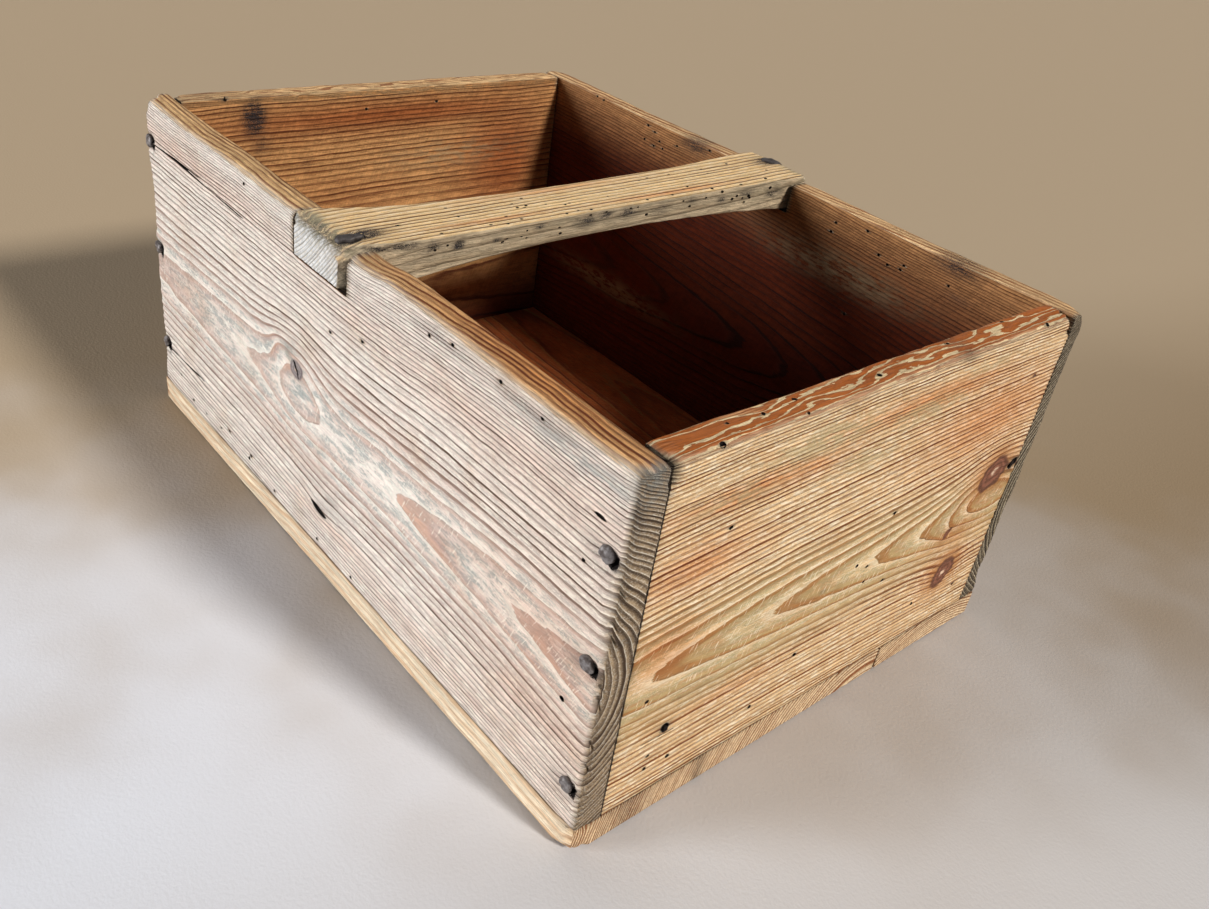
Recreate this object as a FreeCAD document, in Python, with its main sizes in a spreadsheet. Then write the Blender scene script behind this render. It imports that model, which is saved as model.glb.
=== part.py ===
"""Open carpenter's tool chest: four nailed plank walls on a two-board floor, with a carry bar.

X runs along the chest, Y across it and Z up, in millimetres. The origin is on the ground,
in the middle of the underside. "Front" is the long side at -Y, and "right" the end at +X.
"""
import FreeCAD
import Part
import Sketcher
import os

SIZES = {
    # Boards
    "box_length": 540,
    "box_width": 382,
    "side_height": 230,
    "side_thickness": 19,
    "end_thickness": 21,
    "floor_thickness": 20,
    "front_floor_width": 268,
    "floor_seam_gap": 0.4,
    # Worn arrises
    "top_rounding": 7,
    "corner_rounding": 4,
    "edge_rounding": 1.5,
    "bar_rounding": 3,
    # Carry bar and the notches that it lies in
    "bar_end_width": 58,
    "bar_waist_width": 50,
    "bar_end_thickness": 31,
    "bar_waist_thickness": 20,
    "bar_proud": 2,
    "bar_side_clearance": 2,
    "front_notch_shift": -6,
    "back_notch_shift": 3,
    "waist_shift": 4,
    # Corner nails, through the sides into the end grain of the ends
    "corner_nail_length": 58,
    "corner_nail_shank": 4.4,
    "corner_nail_tip": 1.4,
    "corner_nail_head": 11,
    "corner_nail_crown": 5,
    "corner_nail_proud": 2.2,
    "left_nail_inset": 7,
    "right_nail_inset": 13,
    "nail_spacing_above_floor_nails": 5,
    "left_lower_rise": 9,
    "left_middle_height": 136,
    "left_upper_height": 218,
    "right_middle_height": 132,
    "right_upper_height": 199,
    # Bar nails, down through the bar ends into the sides
    "bar_nail_length": 62,
    "bar_nail_shank": 4.6,
    "bar_nail_tip": 1.6,
    "bar_nail_head_length": 17,
    "bar_nail_head_width": 8,
    "bar_nail_proud": 1.6,
    "front_bar_nail_shift": 14,
    "back_bar_nail_shift": -6,
    # Floor nails, up through the floor into the sides and ends
    "floor_nail_length": 41,
    "floor_nail_shank": 3.6,
    "floor_nail_tip": 1.2,
    "floor_nail_head": 8,
    "floor_nail_head_depth": 2,
    "floor_nail_inset": 38,
    "side_floor_nails": 5,
    "end_floor_nails_per_board": 2,
}

SIDES = {"front": -1, "back": 1}
ENDS = {"left": -1, "right": 1}
NEAR = 1.0  # mm: how close an edge's middle has to lie to the place where it is looked for
LEAST_CUT = 1.0  # mm3: a cut that removes less than this has missed

doc = FreeCAD.newDocument("tool_chest")
sheet = doc.addObject("Spreadsheet::Sheet", "sizes")


def fill_sheet():
    """Writes each driving dimension to a row of the sheet, with its name as the alias."""
    for row, (name, value) in enumerate(SIZES.items(), start=1):
        sheet.set(f"A{row}", name)
        sheet.set(f"B{row}", str(value))
        sheet.setAlias(f"B{row}", name)
    doc.recompute()


def bind(thing, **expressions):
    """Binds properties to expressions; a double underscore in a name stands for a dot."""
    for name, expression in expressions.items():
        thing.setExpression(name.replace("__", "."), expression)


def size(name):
    """A driving dimension as the sheet holds it."""
    return float(getattr(sheet, name))


# ---------------------------------------------------------------- sketches and pads

def outline_sketch(body, name, role, corners, arc_rise=None):
    """A closed outline on one of the body's own planes, each corner bound to two expressions.

    With arc_rise, the first edge is an arc that rises so far above its level chord. That edge
    runs from right to left, because a sketch keeps its arcs anticlockwise.
    """
    sketch = body.newObject("Sketcher::SketchObject", name)
    plane = next(f for f in body.Origin.OriginFeatures if f.Role == role)
    sketch.AttachmentSupport = [(plane, "")]
    sketch.MapMode = "FlatFace"
    points = [FreeCAD.Vector(*[float(sketch.evalExpression(text)) for text in corner])
              for corner in corners]
    for index, start in enumerate(points):
        end = points[(index + 1) % len(points)]
        if index == 0 and arc_rise:
            rise = float(sketch.evalExpression(arc_rise))
            sketch.addGeometry(Part.Arc(start, (start + end) / 2 + FreeCAD.Vector(0, rise), end))
        else:
            sketch.addGeometry(Part.LineSegment(start, end))
    for index, corner in enumerate(corners):
        following = (index + 1) % len(corners)
        sketch.addConstraint(Sketcher.Constraint("Coincident", index, 2, following, 1))
        for kind, value, text in zip(("DistanceX", "DistanceY"), points[index], corner):
            number = sketch.addConstraint(Sketcher.Constraint(kind, -1, 1, index, 1, value))
            sketch.setExpression(f"Constraints[{number}]", text)
    if arc_rise:
        half_chord = f"(({corners[0][0]}) - ({corners[1][0]})) / 2"
        radius = f"(({half_chord}) ^ 2 + {arc_rise} ^ 2) / (2 * {arc_rise})"
        number = sketch.addConstraint(
            Sketcher.Constraint("Radius", 0, float(sketch.evalExpression(radius))))
        sketch.setExpression(f"Constraints[{number}]", radius)
    return sketch


def rectangle(left, bottom, right, top):
    return [(left, bottom), (right, bottom), (right, top), (left, top)]


def pad(body, sketch, length):
    feature = body.newObject("PartDesign::Pad", f"{body.Name}_pad")
    feature.Profile = sketch
    bind(feature, Length=length)
    doc.recompute()
    return feature


def cut_through(body, sketch):
    """A pocket right through the body, both ways from the sketch; it has to remove something."""
    before = body.Tip.Shape.Volume
    feature = body.newObject("PartDesign::Pocket", f"{sketch.Name}_pocket")
    feature.Profile = sketch
    feature.Type = "ThroughAll"
    feature.SideType = "Symmetric"
    doc.recompute()
    if feature.Shape.isNull() or feature.Shape.Volume > before - LEAST_CUT:
        raise RuntimeError(f"{feature.Name} cuts nothing: {feature.State}")
    return feature


def round_edges(body, name, radius, chosen):
    """Rounds the edges of the body for which chosen(direction, middle) is true."""
    base = body.Tip
    names = []
    for index, edge in enumerate(base.Shape.Edges, start=1):
        if edge.Curve.TypeId == "Part::GeomLine":
            start, end = (vertex.Point for vertex in edge.Vertexes)
            if chosen((end - start).normalize(), edge.CenterOfMass):
                names.append(f"Edge{index}")
    if not names:
        raise RuntimeError(f"{name} finds no edge")
    feature = body.newObject("PartDesign::Fillet", name)
    feature.Base = (base, names)
    bind(feature, Radius=radius)
    doc.recompute()
    return feature


def along(direction, axis):
    """Whether a unit vector runs along the X, Y or Z axis, given as 0, 1 or 2."""
    return abs(abs(direction[axis]) - 1) < 1e-6


# ---------------------------------------------------------------- boards

def new_board(name, plan, height, **place):
    """A plank blank: its plan outline padded up by its height, then put in its place."""
    body = doc.addObject("PartDesign::Body", f"{name}_blank")
    pad(body, outline_sketch(body, f"{name}_plan", "XY_Plane", plan), height)
    bind(body, **{f"Placement__Base__{axis}": text for axis, text in place.items()})
    return body


def side_board(name, sign):
    """A long wall with a notch for the carry bar. It covers the ends of the two end boards."""
    half_length, half_thickness = "sizes.box_length / 2", "sizes.side_thickness / 2"
    body = new_board(
        f"{name}_side",
        rectangle(f"-{half_length}", f"-{half_thickness}", half_length, half_thickness),
        "sizes.side_height",
        y=f"{sign} * (sizes.box_width - sizes.side_thickness) / 2",
        z="sizes.floor_thickness",
    )
    notch_half = "(sizes.bar_end_width / 2 + sizes.bar_side_clearance)"
    notch_floor = "(sizes.side_height + sizes.bar_proud - sizes.bar_end_thickness)"
    notch = rectangle(
        f"sizes.{name}_notch_shift - {notch_half}", notch_floor,
        f"sizes.{name}_notch_shift + {notch_half}", "sizes.side_height + sizes.top_rounding",
    )
    half_x, top = size("box_length") / 2, size("side_height")
    round_edges(body, f"{name}_side_top_rounding", "sizes.top_rounding",
                lambda way, mid: along(way, 0) and mid.y * sign > 0 and mid.z > top - NEAR)
    round_edges(body, f"{name}_side_corner_rounding", "sizes.corner_rounding",
                lambda way, mid: along(way, 2) and mid.y * sign > 0 and abs(mid.x) > half_x - NEAR)
    round_edges(body, f"{name}_side_inner_rounding", "sizes.edge_rounding",
                lambda way, mid: along(way, 0) and mid.y * sign < 0 and mid.z > top - NEAR)
    cut_through(body, outline_sketch(body, f"{name}_notch", "XZ_Plane", notch))
    return body


def end_board(name, sign):
    """A short wall that fits between the two sides."""
    half_thickness = "sizes.end_thickness / 2"
    body = new_board(
        f"{name}_end",
        rectangle(f"-{half_thickness}", f"-{INNER_FACE}", half_thickness, INNER_FACE),
        "sizes.side_height",
        x=f"{sign} * (sizes.box_length - sizes.end_thickness) / 2",
        z="sizes.floor_thickness",
    )
    top = size("side_height")
    round_edges(body, f"{name}_end_top_rounding", "sizes.top_rounding",
                lambda way, mid: along(way, 1) and mid.x * sign > 0 and mid.z > top - NEAR)
    round_edges(body, f"{name}_end_inner_rounding", "sizes.edge_rounding",
                lambda way, mid: along(way, 1) and mid.x * sign < 0 and mid.z > top - NEAR)
    return body


SEAM = "(sizes.front_floor_width - sizes.box_width / 2)"
PAST_SEAM = "(sizes.front_floor_width - sizes.box_width / 2 + sizes.floor_seam_gap)"
FLOOR_SPANS = {"front": ("-sizes.box_width / 2", SEAM), "back": (PAST_SEAM, "sizes.box_width / 2")}
INNER_FACE = "(sizes.box_width / 2 - sizes.side_thickness)"
END_NAIL_SPANS = [(f"-{INNER_FACE}", SEAM), (PAST_SEAM, INNER_FACE)]


def floor_board(name, sign):
    """One of the two floor boards, with its grain along the chest."""
    half_length = "sizes.box_length / 2"
    low, high = FLOOR_SPANS[name]
    body = new_board(f"{name}_floor", rectangle(f"-{half_length}", low, half_length, high),
                     "sizes.floor_thickness")
    outer = sign * size("box_width") / 2
    round_edges(body, f"{name}_floor_edge_rounding", "sizes.edge_rounding",
                lambda way, mid: along(way, 0) and abs(mid.y - outer) < NEAR)
    return body


def carry_bar():
    """The bar across the middle: waisted in plan, arched underneath and let into both sides."""
    half_width = "sizes.box_width / 2"
    half_end, half_waist = "sizes.bar_end_width / 2", "sizes.bar_waist_width / 2"
    front, back, waist = "sizes.front_notch_shift", "sizes.back_notch_shift", "sizes.waist_shift"
    right = [
        (f"{front} + {half_end}", f"-{half_width}"), (f"{front} + {half_end}", f"-{INNER_FACE}"),
        (f"{waist} + {half_waist}", "0"),
        (f"{back} + {half_end}", INNER_FACE), (f"{back} + {half_end}", half_width),
    ]
    left = [
        (f"{back} - {half_end}", half_width), (f"{back} - {half_end}", INNER_FACE),
        (f"{waist} - {half_waist}", "0"),
        (f"{front} - {half_end}", f"-{INNER_FACE}"), (f"{front} - {half_end}", f"-{half_width}"),
    ]
    body = new_board("carry_bar", right + left, "sizes.bar_end_thickness",
                     z="sizes.floor_thickness + sizes.side_height + sizes.bar_proud"
                       " - sizes.bar_end_thickness")
    rise = "(sizes.bar_end_thickness - sizes.bar_waist_thickness)"
    arch = [(INNER_FACE, "0"), (f"-{INNER_FACE}", "0")]
    below = [(f"-{INNER_FACE}", "-sizes.bar_end_thickness"), (INNER_FACE, "-sizes.bar_end_thickness")]
    cut_through(body, outline_sketch(body, "carry_bar_arch", "YZ_Plane", arch + below, rise))
    top = size("bar_end_thickness")
    round_edges(body, "carry_bar_rounding", "sizes.bar_rounding",
                lambda way, mid: mid.z > top - NEAR)
    return body


# ---------------------------------------------------------------- nails

def taper(name, near, far, near_size, far_size, near_depth=None, far_depth=None):
    """A square or oblong taper along Y, from near_size at near to far_size at far."""
    wedge = doc.addObject("Part::Wedge", name)
    near_depth, far_depth = near_depth or near_size, far_depth or far_size
    bind(wedge, Ymin=near, Ymax=far)
    for axis, near_text, far_text in (("X", near_size, far_size), ("Z", near_depth, far_depth)):
        bind(wedge, **{f"{axis}min": f"-({near_text}) / 2", f"{axis}max": f"({near_text}) / 2",
                       f"{axis}2min": f"-({far_text}) / 2", f"{axis}2max": f"({far_text}) / 2"})
    return wedge


def fuse(name, parts):
    joined = doc.addObject("Part::MultiFuse", name)
    joined.Shapes = parts
    return joined


def corner_nail():
    """A hand-forged nail driven along +Y from the origin, with an eight-sided hammered head."""
    faces = [taper(f"corner_nail_head_{turn}", "-sizes.corner_nail_proud", "0",
                   "sizes.corner_nail_crown", "sizes.corner_nail_head") for turn in ("square", "turned")]
    faces[1].Placement.Rotation = FreeCAD.Rotation(FreeCAD.Vector(0, 1, 0), 45)
    head = doc.addObject("Part::MultiCommon", "corner_nail_head")
    head.Shapes = faces
    shank = taper("corner_nail_shank", "0", "sizes.corner_nail_length",
                  "sizes.corner_nail_shank", "sizes.corner_nail_tip")
    return fuse("corner_nail", [head, shank])


def bar_nail():
    """A nail whose head was beaten over into a long flat bar."""
    head = taper("bar_nail_head", "-sizes.bar_nail_proud", "0",
                 "sizes.bar_nail_head_width - 2 * sizes.bar_nail_proud", "sizes.bar_nail_head_width",
                 "sizes.bar_nail_head_length - 2 * sizes.bar_nail_proud", "sizes.bar_nail_head_length")
    shank = taper("bar_nail_shank", "0", "sizes.bar_nail_length",
                  "sizes.bar_nail_shank", "sizes.bar_nail_tip")
    return fuse("bar_nail", [head, shank])


def floor_nail():
    """A nail whose head is driven in flush with the underside."""
    head = taper("floor_nail_head", "0", "sizes.floor_nail_head_depth",
                 "sizes.floor_nail_head", "sizes.floor_nail_shank")
    shank = taper("floor_nail_shank", "sizes.floor_nail_head_depth", "sizes.floor_nail_length",
                  "sizes.floor_nail_shank", "sizes.floor_nail_tip")
    return fuse("floor_nail", [head, shank])


def nail_group(name, nail, rotation, places):
    """Copies of one nail, all turned the same way, as one group of separate solids."""
    links = []
    for number, (x, y, z) in enumerate(places, start=1):
        link = doc.addObject("App::Link", f"{name}_{number}")
        link.LinkedObject = nail
        link.LinkTransform = False
        link.Placement.Rotation = rotation
        bind(link, Placement__Base__x=x, Placement__Base__y=y, Placement__Base__z=z)
        links.append(link)
    group = doc.addObject("Part::Compound", name)
    group.Links = links
    group.Label = name
    return group


def corner_groups(nail):
    lowest = "sizes.floor_nail_length + sizes.nail_spacing_above_floor_nails"
    heights = {
        "left": [f"{lowest} + sizes.left_lower_rise",
                 "sizes.left_middle_height", "sizes.left_upper_height"],
        "right": [lowest, "sizes.right_middle_height", "sizes.right_upper_height"],
    }
    groups = {}
    for side, side_sign in SIDES.items():
        turn = FreeCAD.Rotation(FreeCAD.Vector(0, 0, 1), 0 if side_sign < 0 else 180)
        for end, end_sign in ENDS.items():
            x = f"{end_sign} * (sizes.box_length / 2 - sizes.{end}_nail_inset)"
            y = f"{side_sign} * sizes.box_width / 2"
            groups[side, end] = nail_group(f"{side}_{end}_corner_nails", nail, turn,
                                           [(x, y, z) for z in heights[end]])
    return groups


def bar_groups(nail):
    down = FreeCAD.Rotation(FreeCAD.Vector(1, 0, 0), -90)
    top = "sizes.floor_thickness + sizes.side_height + sizes.bar_proud"
    return {
        side: nail_group(f"{side}_bar_nail", nail, down, [(
            f"sizes.{side}_notch_shift + sizes.{side}_bar_nail_shift",
            f"{sign} * (sizes.box_width - sizes.side_thickness) / 2", top)])
        for side, sign in SIDES.items()
    }


def floor_groups(nail):
    """A row of nails under each wall; the end rows hold each floor board on its own."""
    up = FreeCAD.Rotation(FreeCAD.Vector(1, 0, 0), 90)
    groups = {}
    count = int(size("side_floor_nails"))
    for side, sign in SIDES.items():
        y = f"{sign} * (sizes.box_width - sizes.side_thickness) / 2"
        run = "(sizes.box_length - 2 * sizes.floor_nail_inset)"
        places = [(f"{run} * ({step} / {count - 1} - 0.5)", y, "0") for step in range(count)]
        groups[side] = nail_group(f"{side}_floor_nails", nail, up, places)
    per_board = int(size("end_floor_nails_per_board"))
    for end, sign in ENDS.items():
        x = f"{sign} * (sizes.box_length - sizes.end_thickness) / 2"
        places = [(x, f"{low} + ({high} - {low}) * {step + 0.5} / {per_board}", "0")
                  for low, high in END_NAIL_SPANS for step in range(per_board)]
        groups[end] = nail_group(f"{end}_floor_nails", nail, up, places)
    return groups


def nailed(name, blank, nails):
    """The finished board: its blank with the holes that the driven nails made."""
    tool = doc.addObject("Part::Compound", f"{name}_nail_holes")
    tool.Links = nails
    board = doc.addObject("Part::Cut", name)
    board.Base = blank
    board.Tool = tool
    board.Label = name
    doc.recompute()
    if board.Shape.Volume > blank.Shape.Volume - LEAST_CUT:
        raise RuntimeError(f"no nail enters {name}")
    return board


def build_chest():
    """Makes every sub-part and returns those that are written, in order."""
    corner, bar, floor = (groups(nail()) for groups, nail in (
        (corner_groups, corner_nail), (bar_groups, bar_nail), (floor_groups, floor_nail)))
    doc.recompute()
    boards = []
    for side, sign in SIDES.items():
        own = [corner[side, end] for end in ENDS] + [bar[side], floor[side]]
        boards.append(nailed(f"{side}_side_board", side_board(side, sign), own))
    for end, sign in ENDS.items():
        own = [corner[side, end] for side in SIDES] + [floor[end]]
        boards.append(nailed(f"{end}_end_board", end_board(end, sign), own))
    for side, sign in SIDES.items():
        own = [floor[side], floor["left"], floor["right"]]
        boards.append(nailed(f"{side}_floor_board", floor_board(side, sign), own))
    boards.append(nailed("carry_bar", carry_bar(), list(bar.values())))
    return boards + list(corner.values()) + list(bar.values()) + list(floor.values())


def check_document():
    for thing in doc.Objects:
        if {"Invalid", "Error"} & set(thing.State):
            raise RuntimeError(f"{thing.Name} failed: {thing.State}")


def write_parts(parts):
    os.makedirs("parts", exist_ok=True)
    for part in parts:
        if part.Shape.isNull() or not part.Shape.isValid():
            raise RuntimeError(f"{part.Label} has no valid shape")
    for part in parts:
        part.Shape.exportStep(os.path.join("parts", f"{part.Label}.step"))
        box = part.Shape.BoundBox
        print(f"{part.Label}: {len(part.Shape.Solids)} solids, {part.Shape.Volume:.0f} mm3,"
              f" z {box.ZMin:.2f} to {box.ZMax:.2f}")


fill_sheet()
chest = build_chest()
doc.recompute()
check_document()
write_parts(chest)
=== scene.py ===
"""Carpenter's open tool chest: six old pine planks and a carry bar, nailed by hand.

Each plank is cut from a log whose growth rings are known: every point of it has a ring count,
which colours the faces, end grain and top edges alike and lifts the hard grain where the soft
wood has worn away. Lengths that describe wood are in millimetres, Blender's own are in metres.
"""
import math

import bmesh
import bpy
import numpy as np
from bpy.props import FloatProperty, FloatVectorProperty, PointerProperty
from mathutils import Euler, Matrix, Vector


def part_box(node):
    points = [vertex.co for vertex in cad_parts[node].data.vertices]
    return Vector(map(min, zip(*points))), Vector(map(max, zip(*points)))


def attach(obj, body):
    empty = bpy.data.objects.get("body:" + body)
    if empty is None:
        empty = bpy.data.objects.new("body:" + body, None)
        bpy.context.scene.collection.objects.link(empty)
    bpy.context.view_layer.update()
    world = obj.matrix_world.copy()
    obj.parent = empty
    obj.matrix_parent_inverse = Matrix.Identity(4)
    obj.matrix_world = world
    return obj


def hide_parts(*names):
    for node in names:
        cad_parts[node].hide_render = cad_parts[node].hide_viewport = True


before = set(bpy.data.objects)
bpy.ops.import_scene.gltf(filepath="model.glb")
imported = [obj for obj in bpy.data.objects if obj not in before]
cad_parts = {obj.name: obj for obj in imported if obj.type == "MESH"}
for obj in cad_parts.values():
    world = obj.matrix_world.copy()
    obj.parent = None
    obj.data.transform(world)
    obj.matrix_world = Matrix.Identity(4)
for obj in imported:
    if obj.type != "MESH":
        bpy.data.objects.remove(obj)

bl_info = {
    "name": "Carpenter's tool chest",
    "version": (1, 0, 0),
    "blender": (4, 5, 0),
    "location": "View3D > Sidebar > Chest",
    "description": "Builds an old nailed tool chest around its packed frame",
    "category": "Add Mesh",
}

MM = 0.001
X, Y, Z = 0, 1, 2
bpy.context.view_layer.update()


# ---------------------------------------------------------------- what a user would change

def srgb(red, green, blue):
    """A colour as a screen shows it, 0 to 255 a channel, in the linear values Blender mixes."""
    def linear(value):
        part = value / 255
        return part / 12.92 if part <= 0.04045 else ((part + 0.055) / 1.055) ** 2.4
    return tuple(linear(value) for value in (red, green, blue))


def colour(name, description, red, green, blue):
    """A property that holds a colour, its default given as a screen shows it."""
    return FloatVectorProperty(name=name, description=description, subtype="COLOR", size=3,
                               min=0, max=1, default=srgb(red, green, blue))


def share(name, description, default, top=1.0):
    """A property that holds a plain amount from 0 to top."""
    return FloatProperty(name=name, description=description, subtype="FACTOR",
                         min=0, max=top, default=default)


def length(name, description, default):
    """A property that holds a size, in metres."""
    return FloatProperty(name=name, description=description, unit="LENGTH",
                         min=0, precision=4, default=default)


# The colours of an old board, from its show face to its end grain, and how they usually look.
WOOD_COLOURS = {
    "face_early": ("Face, soft wood", "Earlywood on the show face", 240, 208, 162),
    "face_middle": ("Face, between", "Wood that darkens towards a hard line", 206, 158, 110),
    "face_late": ("Face, hard wood", "Thin latewood lines on the show face", 112, 66, 34),
    "face_flame": ("Face, flames", "Latewood where the rings lie flat", 190, 146, 92),
    "face_edge": ("Face, flame edges", "Outline of the flames", 176, 116, 62),
    "face_grey": ("Face, weathering", "Weathered patches on the show face", 190, 176, 138),
    "face_pale": ("Face, flecks", "Pale flecks on the show face", 252, 236, 206),
    "face_blush": ("Face, blush", "Tint of the reddish bands, on white", 240, 200, 176),
    "warm_tint": ("Warmth", "Tint of the warmer parts, on white", 226, 172, 112),
    "inside_early": ("Inside, soft wood", "Earlywood inside the chest", 214, 160, 104),
    "inside_middle": ("Inside, between", "Wood that darkens towards a hard line", 188, 132, 80),
    "inside_late": ("Inside, hard wood", "Latewood inside the chest", 98, 46, 22),
    # The next colour tints the lower inside: painted shade, with some dark staining.
    "inside_deep": ("Inside, at the bottom", "Tint of the darkened lower wood, on white", 118, 64, 38),
    "top_early": ("Top, soft wood", "Earlywood on the worn top", 232, 192, 138),
    "top_late": ("Top, hard wood", "Latewood on the worn top", 122, 66, 28),
    "top_dark": ("Top, patches", "Darker patches on the worn top", 110, 62, 30),
    "end_early": ("End grain, soft wood", "Earlywood on the end grain", 160, 144, 118),
    "end_late": ("End grain, hard wood", "Latewood on the end grain", 62, 47, 34),
    "knot_body": ("Knot", "Body of a knot", 134, 80, 52),
    "knot_rim": ("Knot rim", "Dark rim of a knot", 84, 44, 28),
}


def wood(grey_amount=0.4, fleck_amount=0.45, line_strength=1.0, raised_grain=0.5 * MM, **own):
    """The properties of one kind of board: its own colours, the usual ones besides, and amounts."""
    colours = dict(WOOD_COLOURS)
    for key, tint in own.items():
        colours[key] = (*WOOD_COLOURS[key][:2], *tint)
    return {
        **{key: colour(*words_and_tint) for key, words_and_tint in colours.items()},
        "grey_amount": share("Weathering", "How much of the face is weathered", grey_amount),
        "fleck_amount": share("Flecks", "How strongly the face is flecked", fleck_amount),
        "line_strength": share("Line strength", "How dark the hard grain is drawn", line_strength, 1.5),
        "raised_grain": length("Raised grain", "How far the hard grain stands proud", raised_grain),
    }


class BleachedSide(bpy.types.PropertyGroup):
    """The front side board: bleached by daylight to cream and mauve-grey."""
    __annotations__ = wood(
        face_early=(246, 232, 220), face_middle=(208, 184, 173), face_late=(106, 84, 69),
        face_flame=(198, 162, 150), face_edge=(220, 180, 156), face_grey=(162, 168, 164),
        face_pale=(250, 244, 230), face_blush=(244, 225, 217), warm_tint=(228, 168, 96),
        end_early=(176, 152, 122), end_late=(82, 64, 48),
        knot_body=(172, 162, 158), knot_rim=(128, 112, 112),
        grey_amount=0.9, fleck_amount=0.9, line_strength=1.04)


class BrownSide(bpy.types.PropertyGroup):
    """The back side board and the left end board: brown, seen mostly from inside."""
    __annotations__ = wood(
        face_early=(214, 184, 146), face_late=(118, 82, 54), face_blush=(202, 160, 138),
        top_early=(236, 196, 144), top_late=(156, 98, 54),
        end_early=(112, 98, 78), end_late=(36, 28, 22), grey_amount=0.5)


class GoldenEnd(bpy.types.PropertyGroup):
    """The right end board: golden, with reddish flames and knots."""
    __annotations__ = wood(
        face_early=(240, 206, 158), face_middle=(188, 134, 88), face_late=(124, 68, 26),
        face_flame=(188, 158, 106), face_edge=(172, 116, 62), face_grey=(184, 170, 128),
        face_blush=(238, 194, 164), top_early=(246, 222, 176), top_late=(172, 96, 40),
        top_dark=(128, 70, 28), knot_body=(146, 96, 76), knot_rim=(96, 62, 44), fleck_amount=0.9)


class FloorWood(bpy.types.PropertyGroup):
    """The floor boards: cleaner wood. The underside is their face, the long edges their top."""
    __annotations__ = wood(
        face_early=(214, 188, 150), inside_early=(226, 120, 62), inside_middle=(188, 90, 44),
        inside_late=(134, 60, 28), top_early=(255, 236, 206), top_late=(240, 202, 160),
        top_dark=(240, 204, 164), end_early=(255, 224, 180), end_late=(160, 102, 62))


class BarWood(bpy.types.PropertyGroup):
    """The carry bar: tan, grey at its sides and ends. Its upper side is its face here, and its
    sides take the colours of a top."""
    __annotations__ = wood(
        face_early=(244, 208, 152), face_middle=(196, 152, 94), face_late=(98, 58, 26),
        face_grey=(160, 150, 122), inside_early=(150, 112, 70), top_early=(218, 198, 166),
        top_late=(146, 126, 98), top_dark=(134, 122, 104), end_early=(248, 248, 247),
        end_late=(170, 166, 160), line_strength=0.95, raised_grain=0.3 * MM)


class ForgedIron(bpy.types.PropertyGroup):
    """The hand-forged nails."""
    iron: colour("Iron", "The worn iron of the heads", 132, 127, 126)
    rust: colour("Rust", "The brown skin in the hollows", 72, 62, 58)
    soot: colour("Soot", "The black of the heads on the bar", 34, 28, 26)
    unevenness: length("Hammer marks", "How uneven a head is", 0.8 * MM)


class Stage(bpy.types.PropertyGroup):
    """The floor, the lamps and the camera."""
    floor: colour("Floor", "The cloth that the chest stands on", 223, 229, 241)
    far_floor: colour("Far floor", "The cloth well behind the chest", 172, 154, 130)
    lens: FloatProperty(name="Lens", description="Focal length on a 36 mm sensor, in mm",
                        min=10, max=200, default=32.294)
    window: FloatProperty(name="Window", description="Strength of the low cool light in front",
                          min=0, default=3.3)
    lamp: FloatProperty(name="Lamp", description="Strength of the warm light from the right",
                        min=0, default=3.3)
    fill: FloatProperty(name="Fill", description="Strength of the weak light from behind",
                        min=0, default=0.4)
    sky: share("Sky", "Strength of the light from all around", 0.13, 3)


class ChestWear(bpy.types.PropertyGroup):
    """How finely the boards are meshed, and how the years have treated them."""
    mesh_fineness: FloatProperty(name="Fineness", min=0.3, max=1.5, default=1.0,
                                 description="Steps across the grain, as a share of the usual number")
    joint_arris: length("Joint arris", "Rounding of arrises that meet another board", 0.8 * MM)
    worm_hole: length("Worm hole", "Usual diameter of a worm's exit hole", 2.0 * MM)


# ---------------------------------------------------------------- noise and soft steps

def soft_step(value, start, end):
    """0 before start, 1 after end and smooth between; start may be the larger one."""
    part = np.clip((value - start) / (end - start), 0, 1)
    return part * part * (3 - 2 * part)


def plane_noise(u, v, seed):
    """Smooth noise from -1 to 1 over a plane, with one random value for each unit corner."""
    table = np.random.default_rng(seed).uniform(-1, 1, (64, 64))
    column, row = np.floor(u).astype(int), np.floor(v).astype(int)
    across, up = u - column, v - row
    across, up = across * across * (3 - 2 * across), up * up * (3 - 2 * up)

    def corner(right, above):
        return table[(column + right) % 64, (row + above) % 64]

    low = corner(0, 0) * (1 - across) + corner(1, 0) * across
    high = corner(0, 1) * (1 - across) + corner(1, 1) * across
    return low * (1 - up) + high * up


def blots(place, spots):
    """The strongest of some soft oval spots at each point.

    A spot is its middle along and across, its half sizes and its strength, and where it doesn't
    go right through the board also its depth below the show face and its half size that way.
    """
    along, across, inward = place
    shade = np.zeros(len(along))
    for middle, height, half_length, half_width, strength, *depth in spots:
        oval = ((along - middle) / half_length) ** 2 + ((across - height) / half_width) ** 2
        if depth:
            oval = oval + ((inward - depth[0]) / depth[1]) ** 2
        shade = np.maximum(shade, strength * np.exp(-oval))
    return shade


def smooth_path(at, stops, values):
    """A smooth curve through the values at the stops, read at each place."""
    stops, values = np.array(stops, dtype=float), np.array(values, dtype=float)
    slopes = np.gradient(values, stops)
    at = np.clip(at, stops[0], stops[-1])
    span = np.clip(np.searchsorted(stops, at) - 1, 0, len(stops) - 2)
    width = stops[span + 1] - stops[span]
    part = (at - stops[span]) / width
    start, end = values[span], values[span + 1]
    out, into = slopes[span] * width, slopes[span + 1] * width
    square, cube = part ** 2, part ** 3
    return (start * (2 * cube - 3 * square + 1) + out * (cube - 2 * square + part)
            + end * (3 * square - 2 * cube) + into * (cube - square))
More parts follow.
